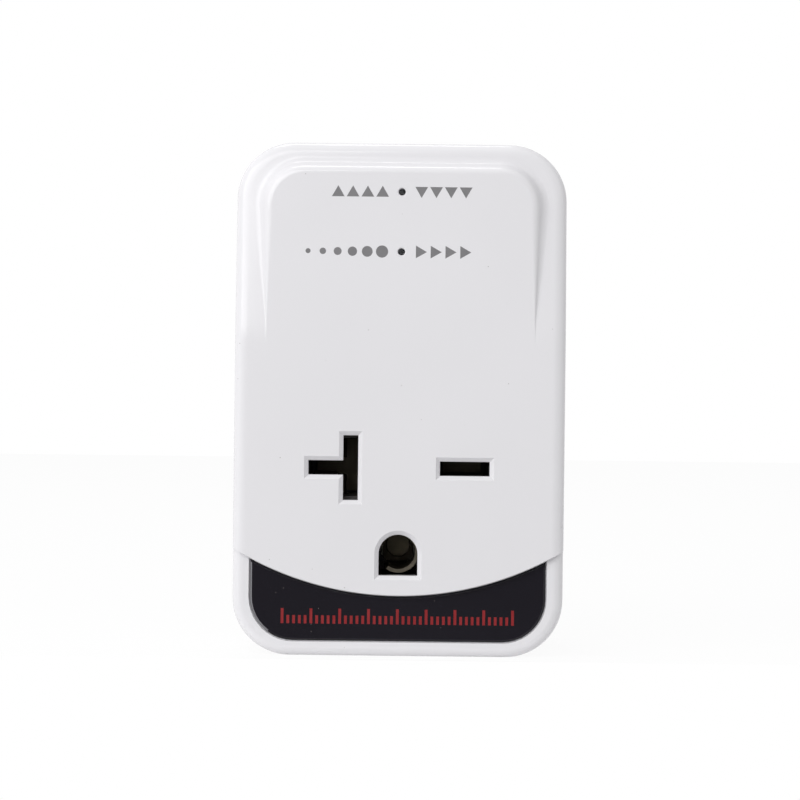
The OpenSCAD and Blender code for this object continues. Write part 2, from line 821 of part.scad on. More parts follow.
module ground_contact() {
    color("#b8923f") union() {
        translate([0, clip_y + clip_len, -ground_drop]) rotate([90, 90 + clip_open_angle / 2, 0])
            rotate_extrude(angle = 360 - clip_open_angle) translate([ground_pin_r, 0])
                square([brass_t, clip_len]);
        block(ground_tail[0], [clip_y + clip_len - tail_grip, clamp_y - strap_t - seat_gap], ground_tail[1]);
    }
}

// Rear plug
module blade(side) {
    half = blade_w / 2;
    thin = blade_t / 2;
    slant = thin * blade_tip_share;
    tip_y = blade_reach - blade_tip;
    translate([side * slot_x, 0, 0]) {
        difference() {
            intersection() {
                span_z([-thin, thin]) polygon([[-half, flange_y], [half, flange_y], [half, tip_y],
                    [half - blade_tip, blade_reach], [blade_tip - half, blade_reach], [-half, tip_y]]);
                span_x([-half, half]) polygon([[flange_y, -thin], [tip_y, -thin], [blade_reach, -slant],
                    [blade_reach, slant], [tip_y, thin], [flange_y, thin]]);
            }
            translate([0, blade_hole_y, -thin - over]) cylinder(h = blade_t + 2 * over, r = blade_hole_r);
        }
        block([-half - flange_rim, half + flange_rim], [flange_y, plate_y],
            [-thin - flange_rim, thin + flange_rim]);
        block([-tab_w / 2, tab_w / 2], [tab_end_y, flange_y + thin], [0, tab_t]);
    }
}

module left_blade() {
    color("#c9a64e") union() {
        blade(-1);
        block([-slot_x - tab_reach, -slot_x], [tab_end_y, clamp_y - seat_gap], [0, tab_t]);
    }
}

module right_blade() {
    color("#c9a64e") blade(1);
}

module ground_pin() {
    tail_end = clamp_y - strap_t - pin_head;
    color("#c9a64e") translate([0, 0, -ground_drop]) rotate([-90, 0, 0]) rotate_extrude() {
        translate([0, tail_end]) square([pin_head_r, pin_head]);
        translate([0, tail_end]) square([pin_tail_r, flange_y - tail_end]);
        translate([0, flange_y]) square([pin_flange_r, flange_t]);
        translate([0, flange_y]) square([ground_pin_r + pin_collar, -flange_y]);
        square([ground_pin_r, ground_pin_reach - ground_pin_r]);
        translate([0, ground_pin_reach - ground_pin_r]) quarter_round(ground_pin_r);
    }
}

module ground_strap() {
    low = -ground_drop - clip_r - strap_t;
    color("#b8923f") difference() {
        union() {
            block([-strap_x, strap_x], [clamp_y - strap_t, clamp_y], [low, strap_x - ground_drop]);
            block([-strap_x, strap_x], [tab_end_y, clamp_y], [low, low + strap_t]);
        }
        rod([0, -ground_drop], [clamp_y - strap_t - over, clamp_y + over], pin_tail_r + pin_gap);
    }
}

module blade_clamp() {
    cut = [clamp_y - over, flange_y + over];
    color("#e8e6e0") difference() {
        span_y([clamp_y, flange_y])
            rounded_rect([-clamp_x, clamp_x], [-clamp_low, clamp_top], clamp_corner_r);
        for (side = [-1, 1]) {
            block([side * slot_x - tab_w / 2 - pass_gap, side * slot_x + tab_w / 2 + pass_gap], cut,
                [-pass_gap, tab_t + pass_gap]);
            rod([side * clamp_screw_x, clamp_screw_z], cut, small_screw_r + pass_gap);
        }
        rod([0, -ground_drop], cut, pin_tail_r + pass_gap);
    }
}

// Circuit board and what stands on it
module on_board(at) {
    translate([at[0], board_y, at[1]]) rotate([90, 0, 0]) children();
}

module behind_board(at) {
    translate([at[0], board_back_y, at[1]]) rotate([-90, 0, 0]) children();
}

// Leads from a height above the board to behind it
module leads(spots, height, r) {
    for (at = spots) rod(at, [board_y - height, board_back_y + lead_reach], r);
}

module circuit_board() {
    cut = [board_y - over, board_back_y + over];
    color("#2f6b3a") difference() {
        span_y([board_y, board_back_y]) intersection() {
            case_outline(side_wall + board_gap);
            translate([-half_w, board_bottom]) square([body_w, top_reach]);
        }
        for (side = [-1, 1]) rod([side * post_x, post_zs[1]], cut, tower_r + seat_gap);
        for (at = board_screws_at) rod(at, cut, small_screw_r + pass_gap);
        for (at = thin_leads) rod(at, cut, lead_r + pass_gap);
        for (at = relay_leads) rod(at, cut, relay_pin_r + pass_gap);
    }
}

module solder(at, r) {
    behind_board(at) difference() {
        cylinder(h = solder_h, r1 = r + solder_rim, r2 = r + solder_tip);
        translate([0, 0, -over]) cylinder(h = solder_h + 2 * over, r = r + pin_gap);
    }
}

module solder_joints() {
    color("#c4c6c8") {
        for (at = thin_leads) solder(at, lead_r);
        for (at = relay_leads) solder(at, relay_pin_r);
    }
}

// A box that stands on its middle, by its half sizes in width and length
module stand(half_x, half_y, z) {
    block([-half_x, half_x], [-half_y, half_y], z);
}

module in_relay() {
    on_board([relay_x, relay_z]) children();
}

module relay_base() {
    cut = relay_base_t + 2 * over;
    color("#2a2a2e") in_relay() difference() {
        stand(relay_in_w - relay_fit, relay_in_l - relay_fit, [0, relay_base_t]);
        for (at = relay_leads)
            translate([at[0] - relay_x, at[1] - relay_z, -over]) cylinder(h = cut, r = relay_pin_r + pin_gap);
    }
}

module relay_cover() {
    color("#1f4f8a") in_relay() difference() {
        stand(relay_w / 2, relay_l / 2, [0, relay_h]);
        stand(relay_in_w, relay_in_l, [-over, relay_h - relay_wall]);
    }
}

module relay_yoke() {
    foot = [relay_base_t, relay_base_t + yoke_t];
    color("#9a9ca0") union() {
        in_relay() difference() {
            union() {
                block([-yoke_w / 2, yoke_w / 2], [core_y - core_r - yoke_t, yoke_out], foot);
                block([-yoke_w / 2, yoke_w / 2], [yoke_out - yoke_t, yoke_out], [relay_base_t, yoke_h]);
            }
            translate([0, core_y, 0]) cylinder(h = relay_h / 2, r = core_r + pin_gap);
        }
        leads([yoke_lead], foot[0] + yoke_t / 2, relay_pin_r);
    }
}

module relay_core() {
    color("#8d8f94") in_relay() translate([0, core_y, 0]) union() {
        translate([0, 0, relay_base_t]) cylinder(h = yoke_h - relay_base_t, r = core_r);
        translate([0, 0, yoke_h - pole_t]) cylinder(h = pole_t, r = pole_r);
    }
}

bobbin_low = relay_base_t + yoke_t;
bobbin_high = yoke_h - pole_t;
spool_r = core_r + pin_gap + bobbin_wall;

module relay_bobbin() {
    reach = coil_r + flange_reach;
    color("#e9e4d4") in_relay() translate([0, core_y, 0]) difference() {
        union() {
            stand(bobbin_wing, reach, [bobbin_low, bobbin_low + bobbin_t]);
            stand(reach, reach, [bobbin_high - bobbin_t, bobbin_high]);
            translate([0, 0, bobbin_low]) cylinder(h = bobbin_high - bobbin_low, r = spool_r);
        }
        translate([0, 0, bobbin_low - over])
            cylinder(h = bobbin_high - bobbin_low + 2 * over, r = core_r + pin_gap);
    }
}

module relay_coil() {
    low = bobbin_low + bobbin_t;
    high = bobbin_high - bobbin_t;
    color("#a4552a") in_relay() translate([0, core_y, 0]) difference() {
        translate([0, 0, low]) cylinder(h = high - low, r = coil_r);
        translate([0, 0, low - over]) cylinder(h = high - low + 2 * over, r = spool_r + pin_gap);
    }
}

// The armature and its leaf are drawn closed and then let go, about the edge of the yoke
module released() {
    in_relay() translate([0, yoke_out, hinge_h]) rotate([-armature_angle, 0, 0])
        translate([0, -yoke_out, -hinge_h]) children();
}

module relay_armature() {
    color("#9a9ca0") released()
        block([-armature_w / 2, armature_w / 2], [yoke_out - armature_l, yoke_out],
            [hinge_h, hinge_h + armature_t]);
}

module relay_leaf() {
    low = hinge_h + armature_t;
    color("#c08a45") released() union() {
        block([-leaf_width / 2, leaf_width / 2], [-leaf_front, leaf_back], [low, low + leaf_t]);
        translate([0, -contact_y, contact_h]) cylinder(h = contact_t, r = contact_r);
        translate([0, -contact_y, low]) cylinder(h = leaf_t + contact_head, r = contact_head_r);
    }
}

module relay_fixed_contact() {
    color("#c08a45") union() {
        in_relay() union() {
            block([-strip_w / 2, strip_w / 2], [-strip_out, -strip_in], [strip_h - strip_t, strip_h]);
            block([-strip_w / 2, strip_w / 2], [-strip_out, strip_t - strip_out], [relay_base_t, strip_h]);
            translate([0, -contact_y, strip_h - strip_t]) cylinder(h = strip_t + contact_t, r = contact_r);
        }
        leads([open_lead], relay_base_t + strip_t, strip_t / 2);
    }
}

module relay_coil_pins() {
    color("#c4c6c8") leads(coil_leads, bobbin_low, relay_pin_r);
}

module varistor() {
    lift = varistor_lift + varistor_r;
    color("#1f5fae") union() {
        on_board([varistor_x, varistor_z]) translate([0, varistor_t / 2, lift]) rotate([90, 0, 0])
            cylinder(h = varistor_t, r = varistor_r);
        leads(varistor_leads, lift, lead_r);
    }
}

module film_capacitor() {
    color("#c9a227") union() {
        on_board([film_x, film_z]) stand(film_w / 2, film_l / 2, [0, film_h]);
        leads(film_leads, film_h / 2, lead_r);
    }
}

// A round capacitor with a rolled groove near its foot and a scored top
module can(at, r, h, spots) {
    on_board(at) difference() {
        cylinder(h = h, r = r);
        translate([0, 0, can_foot]) difference() {
            cylinder(h = can_rim, r = r + over);
            translate([0, 0, -over]) cylinder(h = can_rim + 2 * over, r = r - can_groove);
        }
        for (turn = [0, 90]) translate([0, 0, h]) rotate([0, 0, turn])
            stand(r / 2, can_groove / 2, [-can_groove, over]);
    }
    leads(spots, r / 2, lead_r);
}

module filter_capacitor() {
    color("#22303c") can(filter_at, filter_r, filter_h, filter_leads);
}

module timing_capacitor() {
    color("#22303c") can(timing_at, timing_r, timing_h, timing_leads);
}

module controller_chip() {
    mid = chip_lift + chip_h / 2;
    color("#232325") union() {
        on_board(chip_at) difference() {
            stand(chip_w / 2, chip_l / 2, [chip_lift, chip_lift + chip_h]);
            translate([0, chip_l / 2, chip_lift + chip_h - chip_leg_t]) cylinder(h = over, r = chip_notch_r);
        }
        for (at = chip_leads) {
            side = sign(at[0] - chip_at[0]);
            on_board([(at[0] + chip_at[0] + side * chip_w / 2) / 2, at[1]])
                stand((chip_row - chip_w) / 4 + lead_r / 2, chip_leg_w / 2,
                    [mid - chip_leg_t / 2, mid + chip_leg_t / 2]);
        }
        leads(chip_leads, mid, lead_r);
    }
}

module rectifier_diodes() {
    spots = [for (side = [-0.5, 0.5], row = [-0.5, 0.5])
        [relay_x + side * diode_step[0], relay_z - diode_drop + row * diode_step[1]]];
    color("#29292c") for (at = spots) behind_board(at) union() {
        stand(diode_size[0] / 2, diode_size[1] / 2, [0, diode_size[2]]);
        stand(diode_size[0] / 2 + diode_foot, diode_size[1] / 4, [0, diode_foot_t]);
    }
}

module chip_resistors() {
    spots = [for (side = [-0.5, 0.5], row = [-1:1])
        [film_x + side * resistor_step[0], film_z + row * resistor_step[1]]];
    color("#3a3a3e") for (at = spots) behind_board(at) union() {
        stand(resistor_size[0] / 2, resistor_size[1] / 2, [0, resistor_size[2]]);
        stand(resistor_size[0] / 2 + resistor_end, resistor_size[1] / 2, [0, resistor_size[2] / 2]);
    }
}

module driver_transistor() {
    color("#29292c") behind_board([relay_x, relay_z + switch_rise]) union() {
        stand(switch_size[0] / 2, switch_size[1] / 2, [0, switch_size[2]]);
        for (step = [-1:1]) translate([step * switch_size[0] / 3, switch_size[1] / 2, 0])
            stand(switch_leg[0] / 2, switch_leg[1], [0, switch_leg[2]]);
    }
}

// A small lamp: a dome with a flange and two legs
module light(z) {
    translate([0, light_back_y, z]) rotate([90, 0, 0]) rotate_extrude() {
        square([light_r + light_flange, light_flange_t]);
        square([light_r, light_len - light_r]);
        translate([0, light_len - light_r]) quarter_round(light_r);
    }
    for (side = [-0.5, 0.5])
        rod([side * light_pitch, z], [light_back_y - light_flange_t / 2, board_back_y + lead_reach], lead_r);
}

module upper_light() {
    color("#e6e9ea") light(upper_light_z);
}

module lower_light() {
    color("#e6e9ea") light(lower_light_z);
}

// Wires: a round tube along a route whose corners are rounded
function unit(v) = v / norm(v);
function curve(a, p, b, t) = a * (1 - t) * (1 - t) + p * 2 * t * (1 - t) + b * t * t;
function rounded_route(route, bend) = concat([route[0]],
    [for (i = [1:len(route) - 2])
        let (a = route[i] + unit(route[i - 1] - route[i]) * bend)
        let (b = route[i] + unit(route[i + 1] - route[i]) * bend)
        for (s = [0:bend_steps]) curve(a, route[i], b, s / bend_steps)],
    [route[len(route) - 1]]);
function heading(path, i) = i == 0 ? unit(path[1] - path[0])
    : i == len(path) - 1 ? unit(path[i] - path[i - 1])
    : unit(unit(path[i + 1] - path[i]) + unit(path[i] - path[i - 1]));
function sideways(t) = unit([1, 0, 0] - t * t[0]);
function ring(centre, t, r) = let (u = sideways(t)) let (v = cross(t, u))
    [for (k = [0:wire_sides - 1]) let (turn = 360 * k / wire_sides)
        centre + r * (u * cos(turn) + v * sin(turn))];

module wire(route, r) {
    path = rounded_route(route, wire_bend);
    n = wire_sides;
    last = (len(path) - 1) * n;
    points = [for (i = [0:len(path) - 1]) each ring(path[i], heading(path, i), r)];
    walls = [for (i = [0:len(path) - 2], k = [0:n - 1]) let (a = i * n, b = a + n, m = (k + 1) % n)
        each [[a + k, b + k, b + m], [a + k, b + m, a + m]]];
    caps = [for (k = [1:n - 2]) each [[0, k, k + 1], [last, last + k + 1, last + k]]];
    polyhedron(points = points, faces = concat(walls, caps));
}

// From a metal face up past the lower edge of the board and back onto its front
module board_wire(foot, pad_x, r) {
    front = board_y - wire_front;
    pad = [pad_x, board_y, pad_z];
    wire([foot, foot + [0, 0, wire_rise], [pad_x, front, wire_slope_z], [pad_x, front, pad_z], pad], r);
}

module wire_line_in() {
    color("#a03228") board_wire([line_in_x, tab_mid_y, tab_t], line_in_x, wire_r);
}

module wire_line_out() {
    color("#a03228") board_wire([-slot_x, line_out_y, tee_leaf_z], line_out_x, wire_r);
}

module wire_neutral() {
    color("#2b4a9a") board_wire([slot_x, tab_mid_y, tab_t], slot_x, thin_wire_r);
}

// A round-headed screw: its head stands on the seat and its point leads away from it
module screw(at, seat_y, turn, length, r, head_r, head_t) {
    point = r * point_length_share;
    translate([at[0], seat_y, at[1]]) rotate([turn, 0, 0]) difference() {
        union() {
            cylinder(h = head_t, r1 = head_r, r2 = head_r * head_share);
            translate([0, 0, point - length]) cylinder(h = length - point + head_t / 2, r = r);
            translate([0, 0, -length]) cylinder(h = point, r1 = r * point_share, r2 = r);
        }
        for (cross_turn = [0, 90]) rotate([0, 0, cross_turn])
            stand(head_r * cross_share, cross_w / 2, [head_t - cross_depth, head_t + over]);
    }
}

module case_screws() {
    color("#b9bbbe") for (side = [-1, 1], z = post_zs)
        screw([side * post_x, z], -well_d, -90, case_screw_len, case_screw_r, case_head_r, case_head_t);
}

module board_screws() {
    length = board_t + board_standoff - seat_gap;
    color("#b9bbbe") for (at = board_screws_at)
        screw(at, board_y, 90, length, small_screw_r, small_head_r, small_head_t);
}

module clamp_screws() {
    color("#b9bbbe") for (side = [-1, 1])
        screw([side * clamp_screw_x, clamp_screw_z], clamp_y, 90, clamp_screw_end - clamp_y - pin_gap,
            small_screw_r, small_head_r, small_head_t);
}

module carrier_screws() {
    color("#b9bbbe") for (z = ear_zs)
        screw([0, z], cover_back_y, -90, carrier_screw_len, small_screw_r, small_head_r, small_head_t);
}

front_shell();
rear_shell();
label_plate();
contact_carrier();
carrier_cover();
tee_contact();
flat_contact();
ground_contact();
left_blade();
right_blade();
ground_pin();
ground_strap();
blade_clamp();
circuit_board();
relay_base();
relay_cover();
relay_yoke();
relay_core();
relay_bobbin();
relay_coil();
relay_armature();
relay_leaf();
relay_fixed_contact();
relay_coil_pins();
varistor();
film_capacitor();
filter_capacitor();
timing_capacitor();
controller_chip();
rectifier_diodes();
chip_resistors();
driver_transistor();
solder_joints();
upper_light();
lower_light();
wire_line_in();
wire_line_out();
wire_neutral();
case_screws();
board_screws();
clamp_screws();
carrier_screws();
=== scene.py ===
"""Looks of a plug-in appliance voltage protector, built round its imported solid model."""
import logging
import math
from collections.abc import Callable, Iterable
from dataclasses import dataclass
from enum import Enum

import bmesh
import bpy
from mathutils import Matrix, Vector


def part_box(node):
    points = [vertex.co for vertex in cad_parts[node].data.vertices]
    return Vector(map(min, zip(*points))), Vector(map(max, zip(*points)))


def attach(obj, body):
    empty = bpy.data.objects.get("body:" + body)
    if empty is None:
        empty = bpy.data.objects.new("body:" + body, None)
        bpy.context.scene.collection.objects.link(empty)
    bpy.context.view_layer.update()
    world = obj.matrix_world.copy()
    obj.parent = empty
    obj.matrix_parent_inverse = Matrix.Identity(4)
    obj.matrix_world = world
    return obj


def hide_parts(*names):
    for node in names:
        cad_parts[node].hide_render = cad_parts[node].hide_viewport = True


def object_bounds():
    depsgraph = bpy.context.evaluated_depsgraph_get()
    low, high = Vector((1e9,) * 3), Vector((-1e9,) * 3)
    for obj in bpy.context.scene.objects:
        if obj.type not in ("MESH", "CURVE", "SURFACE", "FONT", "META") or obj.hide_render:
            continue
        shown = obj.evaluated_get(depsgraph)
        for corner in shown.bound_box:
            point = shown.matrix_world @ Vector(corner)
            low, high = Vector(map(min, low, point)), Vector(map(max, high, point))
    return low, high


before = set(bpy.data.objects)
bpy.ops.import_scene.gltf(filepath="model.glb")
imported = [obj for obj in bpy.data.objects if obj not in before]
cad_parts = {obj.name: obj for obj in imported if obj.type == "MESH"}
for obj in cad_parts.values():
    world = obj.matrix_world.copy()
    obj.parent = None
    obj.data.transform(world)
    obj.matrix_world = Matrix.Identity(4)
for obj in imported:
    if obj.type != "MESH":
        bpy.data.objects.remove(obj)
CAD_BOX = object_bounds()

LOG = logging.getLogger("protector")

Mesh = bmesh.types.BMesh
Edge = bmesh.types.BMEdge
Face = bmesh.types.BMFace
Socket = bpy.types.NodeSocket
Span = tuple[float, float]
Place = tuple[float, float]
Triple = tuple[float, float, float]
Walk = list[tuple[Vector, Vector]]

MM = 0.001
# Overrun of a cutter past what it cuts, in millimetres
OVER = 1.0
# Points nearer than this are merged, in millimetres
WELD = 0.001
# Places nearer than this count as one, in millimetres
TOUCH = 1e-4
# Share of its length that an edge runs along Y to count as parallel to it
ALONG_SHARE = 0.999
# Turns that show as an edge, and that are left out of a flat face
SHARP_ANGLE = math.radians(32)
FLAT_ANGLE = math.radians(0.5)
# Sides of a round bar, and of the large arc
ROUND_SEGMENTS = 48
ARC_SEGMENTS = 360
# Distance of both slots and both blades from the middle, in millimetres
SLOT_X = 9.13
# Depth of all that is printed, in millimetres
INK_DEPTH = 0.02


class Joining(Enum):
    """How a cutter changes the solid that it meets."""

    CUT = "DIFFERENCE"
    ADD = "UNION"
    KEEP = "INTERSECT"


class Grain(Enum):
    """Kinds of fine structure, each with how often it repeats along X, Y and Z."""

    MOULDED = (1.0, 1.0, 1.0)
    BRUSHED = (1.0, 0.06, 1.0)
    WOUND = (0.1, 1.0, 0.1)


def linear(code: str) -> tuple[float, float, float, float]:
    """Turns a written colour into the linear colour that a shader takes.

    Args:
        code: Six hexadecimal digits, red, green and blue.

    Returns:
        Linear red, green, blue and a full alpha.
    """
    shares = [int(code[i:i + 2], 16) / 255 for i in (0, 2, 4)]
    made = [s / 12.92 if s <= 0.04045 else ((s + 0.055) / 1.055) ** 2.4 for s in shares]
    return (made[0], made[1], made[2], 1.0)


class NodeWork:
    """A node tree, with short names for the nodes that the finishes and the studio use."""

    def __init__(self, tree: bpy.types.NodeTree) -> None:
        """Takes the tree to work on."""
        self.tree = tree

    def add(self, kind: str, **options: str) -> bpy.types.Node:
        """Adds a node.

        Args:
            kind: Its kind, without the words that all shader nodes share.
            **options: The node's own settings.

        Returns:
            The node.
        """
        node = self.tree.nodes.new(f"ShaderNode{kind}")
        for name, value in options.items():
            setattr(node, name, value)
        return node

    def feed(self, socket: Socket, value: Socket | float | tuple[float, ...]) -> None:
        """Links a socket to another one, or sets it.

        Args:
            socket: The socket that takes the value.
            value: The socket to link from, or the value itself.
        """
        if isinstance(value, Socket):
            self.tree.links.new(value, socket)
        else:
            socket.default_value = value

    def ranged(self, value: Socket, start: Span, end: Span, how: str = "LINEAR") -> Socket:
        """Maps a value from one range to another.

        Args:
            value: The socket to read.
            start: Range that is read.
            end: Range that comes out.
            how: Blender's name of the way between the ends.

        Returns:
            The socket with the mapped value.
        """
        node = self.add("MapRange", interpolation_type=how)
        for name, number in zip(("From Min", "From Max", "To Min", "To Max"), (*start, *end)):
            node.inputs[name].default_value = number
        self.feed(node.inputs["Value"], value)
        return node.outputs["Result"]

    def math(self, how: str, first: Socket | float, second: Socket | float = 0.0) -> Socket:
        """Adds a sum of two values.

        Args:
            how: Blender's name of the sum.
            first: The first value or its socket.
            second: The second value or its socket.

        Returns:
            The socket with the result.
        """
        node = self.add("Math", operation=how)
        self.feed(node.inputs[0], first)
        self.feed(node.inputs[1], second)
        return node.outputs["Value"]

    def along(self, place: Socket, axis: str) -> Socket:
        """Takes a place's distance along one axis.

        Args:
            place: The socket with the place.
            axis: X, Y or Z.

        Returns:
            The socket with the distance.
        """
        node = self.add("SeparateXYZ")
        self.feed(node.inputs["Vector"], place)
        return node.outputs[axis]

    def rays_seen(self) -> tuple[Socket, Socket]:
        """Finds the rays that see the background: those of the camera, of gloss and of glass.

        Returns:
            The socket for the camera alone and the socket for all of these rays.
        """
        rays = self.add("LightPath").outputs
        camera = rays["Is Camera Ray"]
        seen = self.math("MAXIMUM", camera, rays["Is Glossy Ray"])
        return camera, self.math("MAXIMUM", seen, rays["Is Transmission Ray"])

    def show(self, share: Socket, first: Socket, second: Socket, output: bpy.types.Node) -> None:
        """Mixes two shaders into the tree's output.

        Args:
            share: The socket with the share of the second shader.
            first: The shader at a share of nothing.
            second: The shader at a full share.
            output: The tree's output node.
        """
        node = self.add("MixShader")
        for socket, value in zip(node.inputs, (share, first, second)):
            self.feed(socket, value)
        self.feed(output.inputs["Surface"], node.outputs["Shader"])


class Weave(NodeWork):
    """A material's node tree, with its shader and the object's own coordinates."""

    def __init__(self, name: str) -> None:
        """Starts an empty material.

        Args:
            name: The material's name.
        """
        self.material = bpy.data.materials.new(name)
        self.material.use_nodes = True
        super().__init__(self.material.node_tree)
        self.shader = self.tree.nodes["Principled BSDF"]
        self.place = self.add("TexCoord").outputs["Object"]

    def give(self, name: str, value: Socket | float | tuple[float, ...]) -> None:
        """Links or sets one of the shader's own sockets."""
        self.feed(self.shader.inputs[name], value)

    def stretched(self, scale: Triple) -> Socket:
        """Gives the object's own coordinates, scaled along each axis.

        Args:
            scale: Factor along X, Y and Z.

        Returns:
            The socket with the scaled place.
        """
        node = self.add("Mapping")
        node.inputs["Scale"].default_value = scale
        self.feed(node.inputs["Vector"], self.place)
        return node.outputs["Vector"]

    def noise(self, size_mm: float, detail: float = 2.0, place: Socket | None = None) -> Socket:
        """Adds a noise whose features are about one size.

        Args:
            size_mm: Size of a feature in millimetres.
            detail: Octaves of finer noise.
            place: Coordinates to use in place of the object's own.

        Returns:
            The socket with the noise's value.
        """
        node = self.add("TexNoise")
        node.inputs["Scale"].default_value = 1 / (size_mm * MM)
        node.inputs["Detail"].default_value = detail
        self.feed(node.inputs["Vector"], place or self.place)
        return node.outputs["Fac"]

    def blended(self, share: Socket, first: Socket | tuple[float, ...],
                second: Socket | tuple[float, ...]) -> Socket:
        """Mixes two colours by a share.

        Args:
            share: Socket with the share of the second colour.
            first: The colour at a share of nothing, or its socket.
            second: The colour at a full share, or its socket.

        Returns:
            The socket with the mixed colour.
        """
        node = self.add("Mix", data_type="RGBA")
        for name, value in (("Factor", share), ("A", first), ("B", second)):
            self.feed(node.inputs[name], value)
        return node.outputs["Result"]

    def bump(self, height: Socket, depth_mm: float, under: Socket | None = None) -> Socket:
        """Adds relief from a height.

        Args:
            height: Socket with the height, from nothing to one.
            depth_mm: Depth of a full height in millimetres.
            under: Socket with the normal that this relief goes on.

        Returns:
            The socket with the bumped normal.
        """
        node = self.add("Bump")
        node.inputs["Distance"].default_value = depth_mm * MM
        self.feed(node.inputs["Height"], height)
        if under is not None:
            self.feed(node.inputs["Normal"], under)
        return node.outputs["Normal"]


@dataclass(frozen=True)
class Finish:
    """Colour, gloss and fine structure of one material.

    Lengths are in millimetres, and the rest are shares.
    """

    name: str
    colour: str
    roughness: float
    metallic: float = 0.0
    grain: Grain = Grain.MOULDED
    grain_mm: float = 0.5
    relief_mm: float = 0.004
    shade: float = 0.05
    coat: float = 0.0
    broad_scale: float = 14.0
    broad_share: float = 0.6
    contrast: Span = (0.3, 0.7)
    gloss_spread: float = 0.12

    def material(self) -> bpy.types.Material:
        """Builds the material, or finds the one built before.

        Returns:
            The material with its nodes.
        """
        name = f"{self.name}_finish"
        known = bpy.data.materials.get(name)
        if known:
            return known
        weave = Weave(name)
        weave.give("Metallic", self.metallic)
        weave.give("Coat Weight", self.coat)
        self.dress(weave)
        return weave.material

    def tones(self) -> tuple[tuple[float, ...], tuple[float, ...]]:
        """Works out how far the colour varies.

        Returns:
            The darkest and the lightest tone.
        """
        base = linear(self.colour)
        dark = tuple(c * (1 - self.shade) for c in base[:3]) + (1.0,)
        light = tuple(min(1.0, c * (1 + self.shade)) for c in base[:3]) + (1.0,)
        return dark, light

    def gloss(self, weave: Weave, broad: Socket) -> Socket:
        """Varies the roughness with a broad noise."""
        ends = (self.roughness * (1 - self.gloss_spread), self.roughness * (1 + self.gloss_spread))
        return weave.ranged(broad, self.contrast, ends)

    def dress(self, weave: Weave) -> None:
        """Adds the colour, gloss and relief nodes of this finish's grain.

        Args:
            weave: The material's node tree.
        """
        dark, light = self.tones()
        place = weave.place if self.grain is Grain.MOULDED else weave.stretched(self.grain.value)
        fine = weave.noise(self.grain_mm, 3.0, place)
        broad = weave.noise(self.grain_mm * self.broad_scale, 2.0)
        tone = weave.math("ADD", weave.math("MULTIPLY", fine, 1 - self.broad_share),
                          weave.math("MULTIPLY", broad, self.broad_share))
        weave.give("Base Color", weave.blended(weave.ranged(tone, self.contrast, (0, 1)), dark, light))
        weave.give("Roughness", self.gloss(weave, broad))
        weave.give("Normal", weave.bump(fine, self.relief_mm))


@dataclass(frozen=True)
class GlossFinish(Finish):
    """A polished moulded plastic with dust specks, hairlines and a faint waviness."""

    gloss_spread: float = 0.15
    wave_mm: float = 9.0
    wave_depth_mm: float = 0.003
    tone_contrast: Span = (0.35, 0.65)
    speck_mm: float = 1.5
    speck_share: float = 0.053
    speck_core: float = 0.6
    speck_chance: float = 0.16
    speck_strength: float = 0.75
    speck_colour: str = "8c8784"
    line_mm: float = 1.0
    line_stretch: Triple = (0.12, 1.0, 2.4)
    line_share: float = 0.012
    scuff_mm: float = 11.0
    scuff_contrast: Span = (0.56, 0.66)
    scuff_roughness: float = 0.12

    def dress(self, weave: Weave) -> None:
        """Adds the tone, specks, hairlines and waviness.

        Args:
            weave: The material's node tree.
        """
        dark, light = self.tones()
        broad = weave.noise(self.wave_mm * 2, 2.0)
        tone = weave.blended(weave.ranged(broad, self.tone_contrast, (0, 1)), dark, light)
        weave.give("Base Color", weave.blended(self.specks(weave), tone, linear(self.speck_colour)))
        lines = weave.noise(self.line_mm, 0.0, weave.stretched(self.line_stretch))
        offset = weave.math("ABSOLUTE", weave.math("SUBTRACT", lines, 0.5))
        patch = weave.ranged(weave.noise(self.scuff_mm, 1.0), self.scuff_contrast, (0, 1))
        scuff = weave.math("MULTIPLY", weave.ranged(offset, (0.0, self.line_share), (1, 0)), patch)
        scuff = weave.math("MULTIPLY", scuff, self.scuff_roughness)
        weave.give("Roughness", weave.math("ADD", self.gloss(weave, broad), scuff))
        wave = weave.bump(weave.noise(self.wave_mm, 1.0), self.wave_depth_mm)
        weave.give("Normal", weave.bump(weave.noise(self.grain_mm, 2.0), self.relief_mm, wave))

    def specks(self, weave: Weave) -> Socket:
        """Scatters specks, one in some of the cells.

        Args:
            weave: The material's node tree.

        Returns:
            The socket with how strongly a speck shows.
        """
        cells = weave.add("TexVoronoi")
        cells.inputs["Scale"].default_value = 1 / (self.speck_mm * MM)
        weave.feed(cells.inputs["Vector"], weave.place)
        near = weave.ranged(cells.outputs["Distance"],
                            (self.speck_share * self.speck_core, self.speck_share), (1, 0))
        split = weave.add("SeparateColor")
        weave.feed(split.inputs["Color"], cells.outputs["Color"])
        chosen = weave.math("LESS_THAN", split.outputs["Red"], self.speck_chance)
        return weave.math("MULTIPLY", weave.math("MULTIPLY", near, chosen), self.speck_strength)


@dataclass(frozen=True)
class PlugFinish(Finish):
    """A metal in its own colour outside the case, with a darker colour painted inside it as shade.

    The change between the two is a stretch along Y, in millimetres.
    """

    # Darker colour over the part inside the case: painted shade
    inside_shade: str = "7a7364"
    mouth: Span = (-2.5, -1.5)

    def dress(self, weave: Weave) -> None:
        """Adds the metal's own colour, and the darker painted shade inside the case.

        Args:
            weave: The material's node tree.
        """
        super().dress(weave)
        own_colour = weave.shader.inputs["Base Color"].links[0].from_socket
        start, end = self.mouth
        outward = weave.ranged(weave.along(weave.place, "Y"), (start * MM, end * MM), (0, 1))
        # Painted shade inside the case, the metal's own colour outside it
        weave.give("Base Color", weave.blended(outward, linear(self.inside_shade), own_colour))


